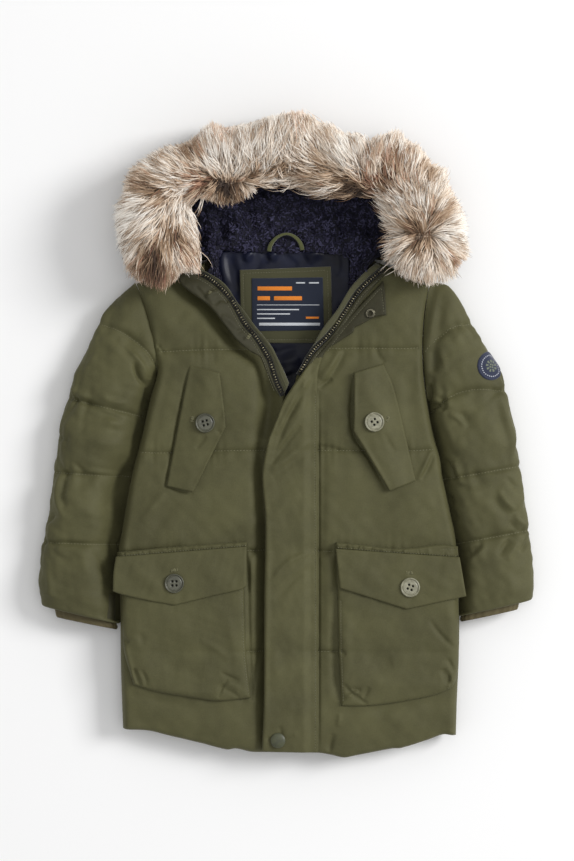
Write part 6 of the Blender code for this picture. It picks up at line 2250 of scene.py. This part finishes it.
# the guard hairs' dark tips are their own colour; their darker root is painted shade
fur_tipped = pile("acrylic_guard_hair_dark_tip", FUR_TONE_STOPS,
                  ((0.0, "c0b4a8"), (0.45, "ffffff"), (0.74, "b39c86"), (1.0, "4a3a2e")))
HAIR_WIDTHS = np.array((0.36, 0.44, 0.44, 0.40, 0.32, 0.20, 0.03))
LOW_WIDTHS = np.array((0.45, 0.50, 0.45, 0.30, 0.04))
plan = (
    # name, hairs, seed, longer, lift, gather, widths
    ("fur_pile_low", 13000, 11, 0.8, 0.7, 0.6, LOW_WIDTHS),
    ("fur_pile_top", 15500, 12, 1.0, 1.0, 0.8, HAIR_WIDTHS),
)
for name, count, seed, longer, lift, gather, widths in plan:
    path, facing, tone, red = grow(count, seed, longer, lift, gather, len(widths))
    draw = np.random.default_rng(seed + 100)
    is_red = draw.random(len(red)) < red * 0.85
    for some, look, end in ((~is_red, fur_cream, ""), (is_red, fur_tan, "_tan")):
        ribbons(name + end, path[some], widths, facing[some], tone[some], look, "faux_fur")
path, facing, tone, red = grow(5500, 13, 1.18, 1.2, 0.85)
ribbons("fur_guard_hairs", path, HAIR_WIDTHS * 0.85, facing, tone + 0.05, fur_tipped,
        "faux_fur")

# %% [markdown]
# ## Cut sizes
# Each sewn piece is cut flat from cloth before the coat lies here as it does. Its cut has a
# box in metres and a flat area of what shows of it: all round the arm on a sleeve or
# cuff, one side of a doubled flap. Such cloth hardly stretches, so the sizes were read off the
# finished pieces and rounded. They weren't measured on their own, so that the areas agree with
# the pieces proves nothing. Where a piece curves, its box was judged.

# %% [markdown]
# ## Table, light and camera
# The coat is looked at from straight above. One large soft light stands far off at the right and
# throws the faint shadow to the left, and a pale surround fills the shade.

# %% Table, lights and camera
CAMERA_PLACE = (-0.00226, 0.0073, 4.025)
LONG_SIDE = 0.9729          # metres that the long side of the view covers at the coat
LENS_DISTANCE = 4.0
SENSOR = 36.0

table_mesh = bpy.data.meshes.new("table")
table_mesh.from_pydata([(-6, -6, 0), (6, -6, 0), (6, 6, 0), (-6, 6, 0)], [], [(0, 1, 2, 3)])
table_look, tree, shader = start("matt_white_board")
give(tree, shader, Base_Color=linear("f8f8f8"), Roughness=0.9, Specular_IOR_Level=0.2)
table_mesh.materials.append(table_look)
table = bpy.data.objects.new("table", table_mesh)
bpy.context.scene.collection.objects.link(table)


def lamp(name, place, size, power, colour="ffffff"):
    """A square soft light that points at the coat."""
    data = bpy.data.lights.new(name, "AREA")
    data.size = size
    data.energy = power
    data.color = linear(colour)[:3]
    made = bpy.data.objects.new(name, data)
    made.location = place
    made.rotation_mode = "QUATERNION"
    made.rotation_quaternion = Vector(place).to_track_quat("Z", "Y")
    bpy.context.scene.collection.objects.link(made)


lamp("window", (4.5, 1.64, 3.6), 2.2, 256.0)
lamp("overhead", (0.3, 0.2, 3.2), 2.2, 12.0)
surround = bpy.data.worlds.new("surround")
surround.use_nodes = True
surround.node_tree.nodes["Background"].inputs["Color"].default_value = linear("ffffff")
surround.node_tree.nodes["Background"].inputs["Strength"].default_value = 0.55
bpy.context.scene.world = surround
bpy.context.scene.view_settings.view_transform = "Standard"

camera_data = bpy.data.cameras.new("camera")
camera_data.sensor_fit = "AUTO"
camera_data.sensor_width = SENSOR
camera_data.lens = SENSOR * LENS_DISTANCE / LONG_SIDE
camera = bpy.data.objects.new("camera", camera_data)
camera.location = CAMERA_PLACE
bpy.context.scene.collection.objects.link(camera)
bpy.context.scene.camera = camera
